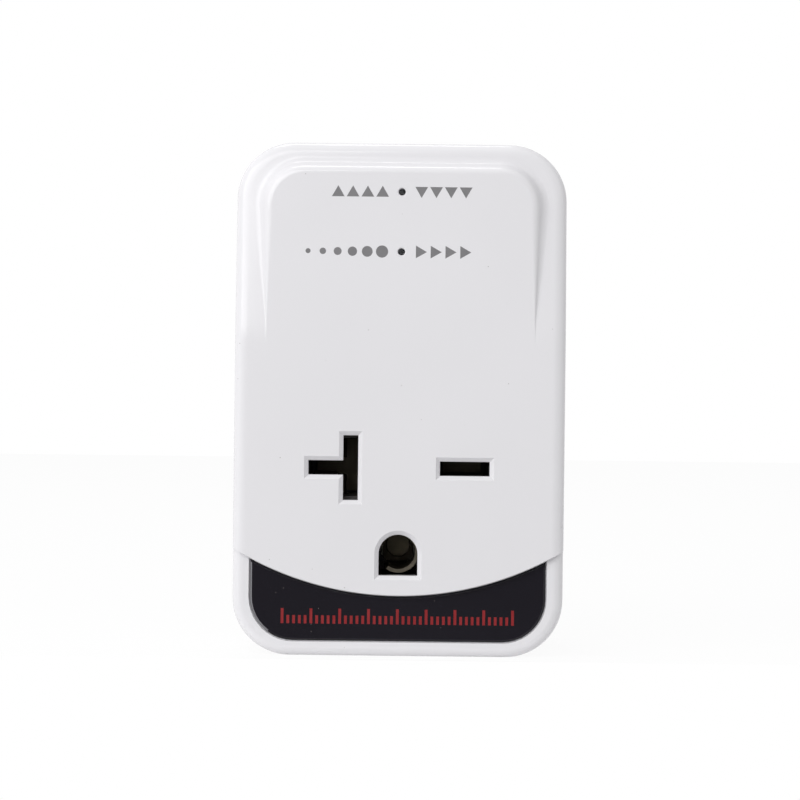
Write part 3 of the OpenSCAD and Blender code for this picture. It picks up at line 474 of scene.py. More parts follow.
WHITE = GlossFinish("case_white", "e4e3e6", 0.14, grain_mm=0.35, relief_mm=0.0005, shade=0.006)
BLACK_PLATE = GlossFinish("label_black", "1e1c22", 0.06, grain_mm=0.3, relief_mm=0.0004, shade=0.06,
                          speck_mm=1.0, speck_share=0.07, speck_colour="7d7674", wave_mm=12.0)
# Light grey laid on the label's left chamfer alone: a painted highlight where the left lamp's reflection
# falls
PLATE_EDGE_PAINTED_GLINT = Finish("plate_edge_painted_glint", "87868a", 0.2, grain_mm=0.4, relief_mm=0.001, shade=0.1)
GREY_INK = Finish("grey_ink", "7c7b7d", 0.35, grain_mm=0.15, relief_mm=0.002, shade=0.06)
RED_INK = Finish("red_ink", "8e2226", 0.32, grain_mm=0.12, relief_mm=0.002, shade=0.08)
CARRIER_BLACK = Finish("carrier_black", "5e5b5a", 0.5, grain_mm=0.25, relief_mm=0.01)
CONTACT_BRASS = Finish("contact_brass", "8a8374", 0.4, 1.0, Grain.BRUSHED, 0.15, shade=0.12)
# Blades and pin, with painted shade on the part inside the case
BLADE_BRASS = PlugFinish("blade_brass", "d0aa5c", 0.24, 1.0, Grain.BRUSHED, 0.12, 0.003, 0.08)
CLAMP_IVORY = Finish("clamp_ivory", "e6e2d6", 0.45, grain_mm=0.3, relief_mm=0.008)
BOARD_GREEN = Finish("board_green", "1f5c33", 0.3, grain_mm=0.3, relief_mm=0.006, shade=0.12, coat=0.4)
RELAY_BLACK = Finish("relay_black", "1b1b1e", 0.5, grain_mm=0.2, relief_mm=0.006)
RELAY_BLUE = Finish("relay_blue", "1f4f8a", 0.35, grain_mm=0.3, relief_mm=0.006)
RELAY_STEEL = Finish("relay_steel", "9a9ca0", 0.35, 1.0, Grain.BRUSHED, 0.12, shade=0.08)
BOBBIN_IVORY = Finish("bobbin_ivory", "e2dcc9", 0.45, grain_mm=0.25, relief_mm=0.006)
COIL_COPPER = Finish("coil_copper", "a4552a", 0.3, 0.8, Grain.WOUND, 0.12, 0.05, 0.2)
SPRING_BRONZE = Finish("spring_bronze", "c08a45", 0.3, 1.0, Grain.BRUSHED, 0.12, 0.003, 0.08)
TIN = Finish("tin", "c4c6c8", 0.3, 1.0, grain_mm=0.3, relief_mm=0.01, shade=0.1)
VARISTOR_BLUE = Finish("varistor_blue", "1f5fae", 0.4, grain_mm=0.5, relief_mm=0.03)
FILM_YELLOW = Finish("film_yellow", "c9a227", 0.38, grain_mm=0.4, relief_mm=0.01)
SLEEVE_NAVY = Finish("sleeve_navy", "1c2733", 0.3, grain_mm=0.5, relief_mm=0.005)
CHIP_BLACK = Finish("chip_black", "1d1d1f", 0.55, grain_mm=0.1, relief_mm=0.006)
LAMP_CLEAR = Finish("lamp_clear", "d8dcde", 0.15, grain_mm=0.6, relief_mm=0.002)
WIRE_RED = Finish("wire_red", "8f2a22", 0.4, grain_mm=0.4, relief_mm=0.006)
WIRE_BLUE = Finish("wire_blue", "26438c", 0.4, grain_mm=0.4, relief_mm=0.006)
SCREW_STEEL = Finish("screw_steel", "b4b6ba", 0.3, 1.0, Grain.BRUSHED, 0.15, shade=0.1)


def named_box(node: str) -> tuple[Vector, Vector]:
    """Gives the lowest and the highest corner of a node's box, in millimetres."""
    low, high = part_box(node)
    return low / MM, high / MM


def block(x: Span, y: Span, z: Span) -> Mesh:
    """Makes a box between two places along each axis.

    Args:
        x: Lowest and highest place along X.
        y: Lowest and highest place along Y.
        z: Lowest and highest place along Z.

    Returns:
        The mesh, in millimetres.
    """
    made = bmesh.new()
    bmesh.ops.create_cube(made, size=1.0)
    size = Vector((x[1] - x[0], y[1] - y[0], z[1] - z[0]))
    middle = Vector((x[0] + x[1], y[0] + y[1], z[0] + z[1])) / 2
    bmesh.ops.scale(made, vec=size, verts=made.verts)
    bmesh.ops.translate(made, vec=middle, verts=made.verts)
    return made


def round_edges(mesh: Mesh, chosen: Callable[[Edge], bool], radius: float, segments: int) -> Mesh:
    """Rounds or chamfers the edges that a test chooses.

    Args:
        mesh: The mesh to change.
        chosen: Says whether an edge is rounded.
        radius: Radius of the rounding.
        segments: Segments of the rounding, one for a chamfer.

    Returns:
        The same mesh.
    """
    bmesh.ops.bevel(mesh, geom=[e for e in mesh.edges if chosen(e)], offset=radius, segments=segments,
                    profile=0.5, affect="EDGES", material=-1, clamp_overlap=True)
    return mesh


def runs_back(edge: Edge) -> bool:
    """Says whether an edge runs along Y."""
    way = edge.verts[1].co - edge.verts[0].co
    return abs(way.y) > ALONG_SHARE * way.length


def lies_at(edge: Edge, y: float) -> bool:
    """Says whether both ends of an edge lie at one depth."""
    return all(abs(vert.co.y - y) < TOUCH for vert in edge.verts)


def rounded_block(x: Span, y: Span, z: Span, radius: float, segments: int) -> Mesh:
    """Makes a box whose four edges along Y are rounded."""
    return round_edges(block(x, y, z), runs_back, radius, segments)


def rod(at: Place, y: Span, radius: float, segments: int = ROUND_SEGMENTS) -> Mesh:
    """Makes a round bar along Y.

    Args:
        at: Place of its axis in X and Z.
        y: Where it starts and ends.
        radius: Its radius.
        segments: Segments round it.

    Returns:
        The mesh, in millimetres.
    """
    made = bmesh.new()
    bmesh.ops.create_cone(made, cap_ends=True, segments=segments, radius1=radius, radius2=radius,
                          depth=y[1] - y[0])
    bmesh.ops.rotate(made, matrix=Matrix.Rotation(math.radians(-90), 3, "X"), verts=made.verts)
    bmesh.ops.translate(made, vec=(at[0], (y[0] + y[1]) / 2, at[1]), verts=made.verts)
    return made


def rods(spots: Iterable[Place], y: Span, radius: float) -> list[Mesh]:
    """Makes like round bars along Y, one at each place in X and Z."""
    return [rod(at, y, radius) for at in spots]


def prism(at: Place, y: Span, radius: float, corners: int, turn: float = 0.0) -> Mesh:
    """Makes a bar along Y with a regular outline.

    Args:
        at: Place of its axis in X and Z.
        y: Where it starts and ends.
        radius: Distance of its corners from the axis.
        corners: Number of its corners.
        turn: Angle from straight up to its first corner, in degrees, towards +X.

    Returns:
        The mesh, in millimetres.
    """
    made = rod((0.0, 0.0), y, radius, corners)
    turned_by = Matrix.Rotation(math.radians(180 + turn), 3, "Y")
    bmesh.ops.rotate(made, matrix=turned_by, verts=made.verts)
    bmesh.ops.translate(made, vec=(at[0], 0.0, at[1]), verts=made.verts)
    return made


def gathered(meshes: Iterable[Mesh]) -> Mesh:
    """Puts meshes that don't touch each other into one.

    Args:
        meshes: The meshes, which are used up.

    Returns:
        One mesh with all of them.
    """
    made = bmesh.new()
    for mesh in meshes:
        data = bpy.data.meshes.new("gathered")
        mesh.to_mesh(data)
        mesh.free()
        made.from_mesh(data)
        bpy.data.meshes.remove(data)
    return made


def turned(profile: Iterable[Place], at: Place, segments: int) -> Mesh:
    """Spins a profile about an axis along Y.

    Args:
        profile: Radius and place along Y of each point, from end to end.
        at: Place of the axis in X and Z.
        segments: Segments round it.

    Returns:
        The mesh, in millimetres.
    """
    made = bmesh.new()
    points = [made.verts.new((radius, y, 0.0)) for radius, y in profile]
    edges = [made.edges.new(pair) for pair in zip(points, points[1:])]
    bmesh.ops.spin(made, geom=points + edges, cent=(0, 0, 0), axis=(0, 1, 0), angle=2 * math.pi,
                   steps=segments, use_merge=True)
    bmesh.ops.remove_doubles(made, verts=made.verts, dist=TOUCH)
    bmesh.ops.translate(made, vec=(at[0], 0, at[1]), verts=made.verts)
    return made


def flat_face(points: Iterable[Place], y: float) -> Mesh:
    """Makes one flat face square to Y from a few corners.

    Args:
        points: Corners in X and Z.
        y: Place of the face.

    Returns:
        The mesh, in millimetres.
    """
    made = bmesh.new()
    for x, z in points:
        made.verts.new((x, y, z))
    bmesh.ops.contextual_create(made, geom=made.verts[:])
    return made


def pushed(mesh: Mesh, faces: list[Face], y: float) -> list[Face]:
    """Extrudes faces and moves what was extruded along Y.

    Args:
        mesh: The mesh to change.
        faces: The faces to extrude.
        y: How far they move.

    Returns:
        The faces at the new end.
    """
    buried = all(len(edge.link_faces) == 2 for face in faces for edge in face.edges)
    made = bmesh.ops.extrude_face_region(mesh, geom=faces)["geom"]
    if buried:
        bmesh.ops.delete(mesh, geom=faces, context="FACES_ONLY")
    bmesh.ops.translate(mesh, vec=(0, y, 0), verts=[g for g in made if isinstance(g, bmesh.types.BMVert)])
    return [g for g in made if isinstance(g, Face)]


class Solid:
    """A closed shape in millimetres that other shapes are added to or cut from."""

    def __init__(self, name: str, mesh: Mesh, finish: Finish | None = None) -> None:
        """Links the mesh into the scene as an object.

        Args:
            name: Name of the piece.
            mesh: Its mesh in millimetres, which is used up.
            finish: Its finish, which a cutter carries into what it cuts.
        """
        bmesh.ops.recalc_face_normals(mesh, faces=mesh.faces)
        data = bpy.data.meshes.new(name)
        mesh.to_mesh(data)
        mesh.free()
        self.finish = finish
        self.object = bpy.data.objects.new(name, data)
        if finish:
            data.materials.append(finish.material())
        bpy.context.scene.collection.objects.link(self.object)

    def carve(self, how: Joining, *shapes: Mesh, finish: Finish | None = None) -> None:
        """Adds, cuts or keeps shapes, one after the other.

        Args:
            how: What each shape does.
            *shapes: Meshes in millimetres, which are used up.
            finish: Finish of the faces that they leave, if it differs.
        """
        cutters = [Solid("cutter", shape, finish) for shape in shapes]
        for cutter in cutters:
            change = self.object.modifiers.new("carve", "BOOLEAN")
            change.operation = how.value
            change.solver = "EXACT"
            change.object = cutter.object
            if finish:
                change.material_mode = "TRANSFER"
        graph = bpy.context.evaluated_depsgraph_get()
        old = self.object.data
        made = bpy.data.meshes.new_from_object(self.object.evaluated_get(graph), depsgraph=graph)
        self.object.modifiers.clear()
        self.object.data = made
        bpy.data.meshes.remove(old)
        for cutter in cutters:
            cutter.taken().free()

    def taken(self) -> Mesh:
        """Takes the solid out of the scene.

        Returns:
            Its mesh, in millimetres.
        """
        mesh = bmesh.new()
        data = self.object.data
        mesh.from_mesh(data)
        bpy.data.objects.remove(self.object)
        bpy.data.meshes.remove(data)
        return mesh

    def present(self, replaced: str, body: str = "root") -> bpy.types.Object:
        """Scales the solid to metres, shades it, sets it on its body and hides the node that it stands for.

        Args:
            replaced: Node of the solid model that it stands for.
            body: Body that it rides on.

        Returns:
            The finished object.
        """
        piece = self.object
        mesh = bmesh.new()
        mesh.from_mesh(piece.data)
        weld(mesh)
        shade(mesh)
        bmesh.ops.scale(mesh, vec=(MM, MM, MM), verts=mesh.verts)
        mesh.to_mesh(piece.data)
        mesh.free()
        weights = piece.modifiers.new("weighted normals", "WEIGHTED_NORMAL")
        weights.keep_sharp = True
        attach(piece, body)
        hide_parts(replaced)
        return piece


def weld(mesh: Mesh) -> None:
    """Merges points that lie close together, and keeps the mesh closed.

    A face with many corners is lost if two of them merge, so such faces are cut into triangles first.

    Args:
        mesh: The mesh to change, in millimetres.
    """
    pairs = bmesh.ops.find_doubles(mesh, verts=mesh.verts, dist=WELD)["targetmap"]
    close = {vert for pair in pairs.items() for vert in pair}
    bmesh.ops.triangulate(mesh, faces=[face for face in mesh.faces if not close.isdisjoint(face.verts)])
    bmesh.ops.remove_doubles(mesh, verts=mesh.verts, dist=WELD)


def shade(mesh: Mesh) -> None:
    """Shades a mesh smooth, with an edge wherever it turns sharply.

    Args:
        mesh: The mesh to change.
    """
    for face in mesh.faces:
        face.smooth = True
    for edge in mesh.edges:
        edge.smooth = len(edge.link_faces) == 2 and edge.calc_face_angle(0) < SHARP_ANGLE


@dataclass(frozen=True)
class Case:
    """Outer sizes that both shells share, in millimetres."""

    half_width: float
    top: float
    bottom: float
    face: float
    parting: float
    corner: float = 8.0
    wall: float = 2.0
    post_inset: float = 5.8
    seam: float = 0.14
    root: float = 0.3
    corner_steps: int = 16

    @classmethod
    def from_frame(cls) -> "Case":
        """Reads the sizes from the solid model."""
        low, high = named_box("front_shell")
        return cls(high.x, high.z, low.z, low.y, high.y)

    def posts(self) -> list[Place]:
        """Gives the places of the corner posts in X and Z."""
        x = self.half_width - self.post_inset
        return [(side * x, z) for side in (-1, 1)
                for z in (self.bottom + self.post_inset, self.top - self.post_inset)]

    def outline(self, inset: float, y: Span) -> Mesh:
        """Makes a block along Y with the case's outline, drawn in by an inset."""
        side = self.half_width - inset
        return rounded_block((-side, side), y, (self.bottom + inset, self.top - inset),
                             self.corner - inset, self.corner_steps)


@dataclass(frozen=True)
class Shoulder:
    """Front of the upper case: a plateau, and round it a strip that falls back towards the top.

    Lengths are in millimetres and angles in degrees.
    """

    case: Case
    # Rounding between the case's sides and its front
    rim: float = 1.5
    rim_width: float = 1.8
    rim_steps: int = 8
    # Where the strip starts to fall, and how steeply
    start: float = 18.6
    blend: float = 1.6
    tilt: float = 5.0
    # Distance of the plateau's edge from the outside of the case
    plateau_side: float = 4.3
    plateau_top: float = 3.75
    plateau_tip: float = 4.4
    plateau_corner: float = 5.2
    # Section of the step between plateau and strip
    side_angle: float = 56.0
    top_angle: float = 62.0
    crest: float = 0.7
    crest_share: float = 0.42
    foot: float = 0.7
    foot_share: float = 0.5
    least_step: float = 0.12
    fillet_steps: int = 6
    row_step: float = 1.0

    def fall(self, z: float) -> float:
        """Gives how far the strip outside the plateau lies behind the face.

        Args:
            z: Height above the slots.

        Returns:
            The depth behind the face.
        """
        above = z - self.start
        slope = math.tan(math.radians(self.tilt))
        if above <= -self.blend:
            return 0.0
        if above >= self.blend:
            return slope * above
        return slope * (above + self.blend) ** 2 / (4 * self.blend)

    def path(self, side_at: Callable[[float], float], top: float, radius: float,
             low_radius: float) -> Walk:
        """Walks round an upright rounded outline in fixed steps.

        Args:
            side_at: Half width at a share of the way up the straight side.
            top: Height of the upper edge.
            radius: Radius of the upper corners.
            low_radius: Radius of the lower corners.

        Returns:
            Each spot's place and its direction outwards, both in X and Z.
        """
        case = self.case
        low_z = case.bottom + case.corner
        high_z = top - radius
        rows = round((case.top - case.bottom) / self.row_step)
        spots: Walk = []
        for row in range(rows + 1):
            share = row / rows
            spots.append((Vector((side_at(share), low_z + share * (high_z - low_z))), Vector((1.0, 0.0))))
        spots += self.bend(side_at(1.0) - radius, high_z, radius, 0)
        spots += [(Vector((-x, z)), Vector((-n.x, n.y))) for (x, z), n in reversed(spots)]
        lower = self.bend(-side_at(0.0) + low_radius, low_z, low_radius, 180)
        lower += [(Vector((-x, z)), Vector((-n.x, n.y))) for (x, z), n in reversed(lower)]
        return spots + lower

    def bend(self, x: float, z: float, radius: float, start: float) -> Walk:
        """Walks round a quarter circle, without its first spot.

        Args:
            x: Centre in X.
            z: Centre in Z.
            radius: Radius of the quarter circle.
            start: Angle that it starts from.

        Returns:
            Each spot's place and its direction outwards.
        """
        made = []
        for step in range(1, self.case.corner_steps + 1):
            angle = math.radians(start + 90 * step / self.case.corner_steps)
            out = Vector((math.cos(angle), math.sin(angle)))
            made.append((Vector((x, z)) + out * radius, out))
        return made

    def outer_path(self) -> Walk:
        """Walks round the outside of the case."""
        case = self.case
        return self.path(lambda share: case.half_width, case.top, case.corner, case.corner)

    def crest_path(self) -> Walk:
        """Walks round the upper corner of the step, which runs on down the sides as a flat line.

        Returns:
            Each spot's place and its direction outwards.
        """
        case = self.case
        top = case.top - self.plateau_top
        low_z = case.bottom + case.corner
        start = (self.start - low_z) / (top - self.plateau_corner - low_z)

        def side_at(share: float) -> float:
            """Gives the half width, which draws in from the step's tip to its upper corner."""
            up = max(0.0, share - start) / (1 - start)
            return case.half_width - self.plateau_tip - up * (self.plateau_side - self.plateau_tip)

        return self.path(side_at, top, self.plateau_corner, case.corner - self.plateau_tip)

    def step_point(self, spot: tuple[Vector, Vector], share: float) -> Vector:
        """Gives a point on the step's section, from the plateau to the strip.

        Args:
            spot: Place of the step's upper corner and its direction outwards.
            share: 0 on the plateau, 1 past the crest, 2 at the foot and 3 on the strip.

        Returns:
            The point in X, Y and Z.
        """
        place, out = spot
        upward = max(0.0, out.y) ** 2
        run = 1 / math.tan(math.radians(self.side_angle + upward * (self.top_angle - self.side_angle)))
        width = max(self.least_step, self.fall(place.y) * run)
        width = max(self.least_step, self.fall(place.y + out.y * width) * run)
        depth = self.fall(place.y + out.y * width)
        slope = Vector((width, depth))
        length = slope.length
        crest = min(self.crest, self.crest_share * length)
        foot = min(self.foot, self.foot_share * length)
        past = self.fall(place.y + out.y * (width + foot))
        corners = [Vector((-crest, 0.0)), Vector((0.0, 0.0)), slope * (crest / length),
                   slope * (1 - foot / length), slope, Vector((width + foot, past))]
        start, t = (0, share) if share <= 1 else (3, share - 2)
        a, b, c = corners[start:start + 3]
        section = a * (1 - t) ** 2 + b * 2 * t * (1 - t) + c * t ** 2
        flat = place + out * section.x
        return Vector((flat.x, self.case.face + section.y, flat.y))

    def raised(self) -> Mesh:
        """Grows the front of the case ring by ring, from the parting line to the plateau.

        Returns:
            The closed mesh, in millimetres.
        """
        case = self.case
        outer, crest = self.outer_path(), self.crest_path()

        def level(inset: float, y: float) -> list[Vector]:
            """Works out a ring at one depth, drawn in from the outside."""
            return [Vector((p.x - n.x * inset, y, p.y - n.y * inset)) for p, n in outer]

        def rim(turn: float) -> list[Vector]:
            """Works out a ring round the rim's section.

            Args:
                turn: Angle round the section, from the side wall at 0 to the strip at 90 degrees.

            Returns:
                The ring's points.
            """
            inset = self.rim_width * (1 - math.cos(math.radians(turn)))
            back = self.rim * (1 - math.sin(math.radians(turn)))
            return [Vector((p.x - n.x * inset,
                            case.face + back + self.fall(p.y - n.y * self.rim_width), p.y - n.y * inset))
                    for p, n in outer]

        rings = [level(case.seam, case.parting), level(0, case.parting - case.seam)]
        rings += [rim(90 * step / self.rim_steps) for step in range(self.rim_steps + 1)]
        shares = [i / self.fillet_steps for i in range(self.fillet_steps + 1)]
        for share in [3 - s for s in shares] + [1 - s for s in shares]:
            rings.append([self.step_point(spot, share) for spot in crest])
        made = bmesh.new()
        number = made.verts.layers.int.new("spot")
        bmesh.ops.create_circle(made, cap_ends=False, segments=len(outer), radius=1.0)
        made.verts.ensure_lookup_table()
        for i, vert in enumerate(made.verts):
            vert[number] = i
            vert.co = rings[0][i]
        loop = made.edges[:]
        bmesh.ops.edgeloop_fill(made, edges=loop)
        for ring in rings[1:]:
            grown = bmesh.ops.extrude_edge_only(made, edges=loop)["geom"]
            for vert in (g for g in grown if isinstance(g, bmesh.types.BMVert)):
                vert.co = ring[vert[number]]
            loop = [g for g in grown if isinstance(g, bmesh.types.BMEdge)]
        bmesh.ops.edgeloop_fill(made, edges=loop)
        return made


@dataclass(frozen=True)
class Openings:
    """T slot, flat slot and D hole, each with a bevelled edge, in millimetres."""

    face: float
    wall: float
    bevel: float = 0.58
    slot_length: float = 6.9
    slot_height: float = 2.0
    tee_width: float = 2.08
    tee_height: float = 9.0
    ground_drop: float = 11.91
    ground_radius: float = 2.7
    ground_foot: float = 3.0
    dome_steps: int = 32

    def tee(self) -> list[Place]:
        """Works out the outline of the T slot's bevel where it leaves the cutter's straight front.

        Returns:
            The corners in X and Z.
        """
        out = self.bevel + OVER
        left = -SLOT_X - self.slot_length / 2
        right = left + self.slot_length
        arm, tall = self.slot_height / 2 + out, self.tee_height / 2 + out
        inner = right - self.tee_width - out
        right += out
        left -= out
        return [(left, -arm), (inner, -arm), (inner, -tall), (right, -tall), (right, tall), (inner, tall),
                (inner, arm), (left, arm)]

    def flat(self) -> list[Place]:
        """Works out the outline of the flat slot's bevel where it leaves the cutter's straight front.

        Returns:
            The corners in X and Z.
        """
        out = self.bevel + OVER
        left, right = SLOT_X - self.slot_length / 2 - out, SLOT_X + self.slot_length / 2 + out
        arm = self.slot_height / 2 + out
        return [(left, -arm), (right, -arm), (right, arm), (left, arm)]

    def ground(self) -> list[Place]:
        """Works out the outline of the D hole's bevel where it leaves the cutter's straight front.

        Returns:
            The corners in X and Z.
        """
        out = self.bevel + OVER
        r, low = self.ground_radius + out, -self.ground_drop - self.ground_foot - out
        steps = self.dome_steps
        dome = [(r * math.cos(math.pi * i / steps), r * math.sin(math.pi * i / steps) - self.ground_drop)
                for i in range(steps + 1)]
        return [(-r, low), (r, low)] + dome

    def cutter(self, corners: list[Place]) -> Mesh:
        """Makes the cutter of a bevelled opening.

        Args:
            corners: Its outline at the cutter's front, which is one overrun and one bevel wider.

        Returns:
            The mesh, in millimetres.
        """
        face = self.face
        made = flat_face(corners, face - 2 * OVER)
        front = pushed(made, made.faces[:], OVER)
        bmesh.ops.recalc_face_normals(made, faces=made.faces)
        bmesh.ops.inset_region(made, faces=front, thickness=self.bevel + OVER, depth=self.bevel + OVER,
                               use_even_offset=True, use_boundary=True)
        back = max(made.faces, key=lambda f: f.calc_center_median().y)
        pushed(made, [back], self.wall + OVER - self.bevel)
        return made

    def cutters(self) -> list[Mesh]:
        """Makes the cutters of the three openings."""
        return [self.cutter(corners) for corners in (self.tee(), self.flat(), self.ground())]


@dataclass(frozen=True)
class FacePrint:
    """Plain grey shapes printed beside the two pin holes, in millimetres."""

    marks: int = 4
    mark: float = 1.02
    pitch: float = 2.05
    gap: float = 2.7
    shift: float = 0.2
    dots: int = 6
    dot: float = 0.85
    dot_step: float = 0.1
    dot_corners: int = 24

    def cutter(self, face: float, upper: float, lower: float) -> Mesh:
        """Makes the cutter of the shapes.

        Args:
            face: Place of the face that they are printed on.
            upper: Height of the upper pin hole.
            lower: Height of the lower pin hole.

        Returns:
            The mesh, in millimetres.
        """
        depth = (face - OVER, face + INK_DEPTH)
        shapes = []
        for i in range(self.marks):
            away = self.gap + i * self.pitch
            for at, turn in (((-away, upper - self.shift), 0.0), ((away, upper + self.shift), 180.0),
                             ((away - self.shift, lower), 90.0)):
                shapes.append(prism(at, depth, self.mark, 3, turn))
        for i in range(self.dots):
            away = self.gap + i * self.pitch
            shapes.append(prism((-away, lower), depth, self.dot - self.dot_step * i, self.dot_corners))
        return gathered(shapes)


@dataclass(frozen=True)
class FrontShell:
    """White front half of the case: shoulder, openings, sunken lower area and label recess.

    Lengths are in millimetres.
    """

    case: Case
    shoulder: Shoulder
    front_wall: float = 2.4
    # Arc that bounds the raised face
    arc_radius: float = 44.4
    arc_drop: float = 17.7
    arc_edge: float = 0.22
    arc_edge_shares: tuple[Place, ...] = ((1.7, -1.0), (0.55, 0.0), (0.15, 0.35), (0.0, 1.0))
    arc_lap: float = 0.02
    # Lower area and the label's recess in it
    sink: float = 0.8
    recess: float = 0.6
    recess_side: float = 2.3
    recess_bottom: float = 2.0
    recess_corner: float = 6.2
    recess_steps: int = 10
    # Pin holes, and the cups behind them that take the lights
    light_heights: Span = (38.3, 30.0)
    pin_hole: float = 0.5
    pin_ease: float = 0.12
    pin_steps: int = 32
    cup: float = 2.55
    cup_bore: float = 1.65
    cup_depth: float = 4.3
    # Posts for the case screws and bosses for the carrier screws
    post: float = 2.6
    post_bore: float = 1.28
    post_bore_end: float = -24.3
    boss: float = 2.4
    boss_bore: float = 0.98
    boss_bore_end: float = -20.9
    ear: float = 3.0
    # Inside of the shell, and the rebate for the rear shell's tongue
    rebate: float = 1.0
    rebate_depth: float = 1.8
    land: float = 1.2
    pocket: float = 4.0
    pocket_steps: int = 8

    def arc_centre(self) -> float:
        """Gives the height of the arc's centre."""
        return self.arc_radius - self.arc_drop

    def coin(self) -> Mesh:
        """Makes the disc whose lower edge bounds the raised face, with that edge eased.

        Returns:
            The mesh, in millimetres.
        """
        case, edge, r = self.case, self.arc_edge, self.arc_radius
        eased = [(r - inward * edge, case.face + back * edge) for inward, back in self.arc_edge_shares]
        profile = [(0.0, case.face - edge), *eased, (r, case.parting + OVER), (0.0, case.parting + OVER)]
        return turned(profile, (0.0, self.arc_centre()), ARC_SEGMENTS)

    def sunken(self) -> Mesh:
        """Makes the lower block, whose face lies behind the raised one.

        Returns:
            The mesh, in millimetres.
        """
        case = self.case
        front = case.face + self.sink
        made = block((-case.half_width, case.half_width), (front, case.parting), (case.bottom, 0.0))

        def below(edge: Edge, y: float) -> bool:
            """Says whether an edge lies at one depth and reaches below the block's upper side."""
            return lies_at(edge, y) and min(v.co.z for v in edge.verts) < -TOUCH

        round_edges(made, self.low_corner, case.corner, case.corner_steps)
        round_edges(made, lambda e: below(e, case.parting), case.seam, 1)
        round_edges(made, lambda e: below(e, front), self.shoulder.rim, self.shoulder.rim_steps)
        return made

    @staticmethod
    def low_corner(edge: Edge) -> bool:
        """Says whether an edge of a lower block runs along one of its lower corners."""
        return runs_back(edge) and edge.verts[0].co.z < -OVER

    def label_outline(self, gap: float, y: Span) -> Mesh:
        """Makes a block with the label's outline up to above the arc.

        Args:
            gap: How far it is drawn in.
            y: Where it starts and ends.

        Returns:
            The mesh, in millimetres.
        """
        case = self.case
        side = case.half_width - self.recess_side - gap
        made = block((-side, side), y, (case.bottom + self.recess_bottom + gap, 0.0))
        return round_edges(made, self.low_corner, self.recess_corner - gap, self.recess_steps)

    def hollows(self) -> list[Mesh]:
        """Makes the cutters of the shell's inside.

        Returns:
            The meshes, in millimetres.
        """
        case, shoulder = self.case, self.shoulder
        inner = case.face + self.front_wall
        cavity = inner + shoulder.fall(case.top)
        high_x = case.half_width - shoulder.plateau_side - case.wall
        low_x = case.half_width - case.wall - self.land
        low_z = case.bottom + case.wall + self.land
        return [case.outline(case.wall, (cavity, case.parting + OVER)),
                case.outline(self.rebate, (case.parting - self.rebate_depth, case.parting + OVER)),
                rounded_block((-high_x, high_x), (inner, cavity + OVER),
                              (0.0, case.top - shoulder.plateau_top - case.wall), self.pocket,
                              self.pocket_steps),
                rounded_block((-low_x, low_x), (inner, cavity + OVER), (low_z, shoulder.start),
                              self.pocket, self.pocket_steps)]

    def pin_cutter(self, at: Place) -> Mesh:
        """Makes the cutter of a pin hole whose front edge is eased.

        Args:
            at: Place of the hole in X and Z.

        Returns:
            The mesh, in millimetres.
        """
        face, ease = self.case.face, self.pin_ease
        wide = self.pin_hole + ease + OVER
        profile = [(0.0, face - OVER), (wide, face - OVER), (self.pin_hole, face + ease),
                   (self.pin_hole, face + self.front_wall + OVER), (0.0, face + self.front_wall + OVER)]
        return turned(profile, at, self.pin_steps)

    def build(self) -> bpy.types.Object:
        """Builds the shell and dresses it.

        Returns:
            The finished object.
        """
        case = self.case
        inner = case.face + self.front_wall
        cavity = inner + self.shoulder.fall(case.top)
        shell = Solid("front_case", self.shoulder.raised(), WHITE)
        shell.carve(Joining.KEEP, self.coin())
        shell.carve(Joining.ADD, self.sunken())
        shell.carve(Joining.CUT, *self.hollows())
        cup_end = named_box("upper_light")[0].y + self.cup_depth
        posts = [rod(at, ((inner if at[1] < 0 else cavity) - case.root, case.parting), self.post)
                 for at in case.posts()]
        low, high = named_box("contact_carrier")
        ears = [(0.0, low.z + self.ear), (0.0, high.z - self.ear)]
        ear_front = high.y - self.ear
        bosses = rods(ears, (inner - case.root, ear_front), self.boss)
        lights = [(0.0, z) for z in self.light_heights]
        cups = rods(lights, (inner - case.root, cup_end), self.cup)
        shell.carve(Joining.ADD, *posts, *bosses, *cups)
        recess_depth = (case.face - OVER, case.face + self.sink + self.recess)
        recess = Solid("recess", self.label_outline(0.0, recess_depth))
        recess.carve(Joining.CUT, rod((0.0, self.arc_centre()), (case.face - 2 * OVER, 0.0),
                                      self.arc_radius - self.arc_lap, ARC_SEGMENTS))
        shell.carve(Joining.CUT, recess.taken())
        shell.carve(Joining.CUT, *Openings(case.face, self.front_wall).cutters())
        shell.carve(Joining.CUT, gathered(self.pin_cutter(at) for at in lights))
        for spots, depth, radius in (
                (lights, (inner, case.parting), self.cup_bore),
                (case.posts(), (self.post_bore_end, case.parting + OVER), self.post_bore),
                (ears, (self.boss_bore_end, ear_front + OVER), self.boss_bore)):
            shell.carve(Joining.CUT, gathered(rods(spots, depth, radius)))
        shell.carve(Joining.CUT, FacePrint().cutter(case.face, *self.light_heights), finish=GREY_INK)
        return shell.present("front_shell")


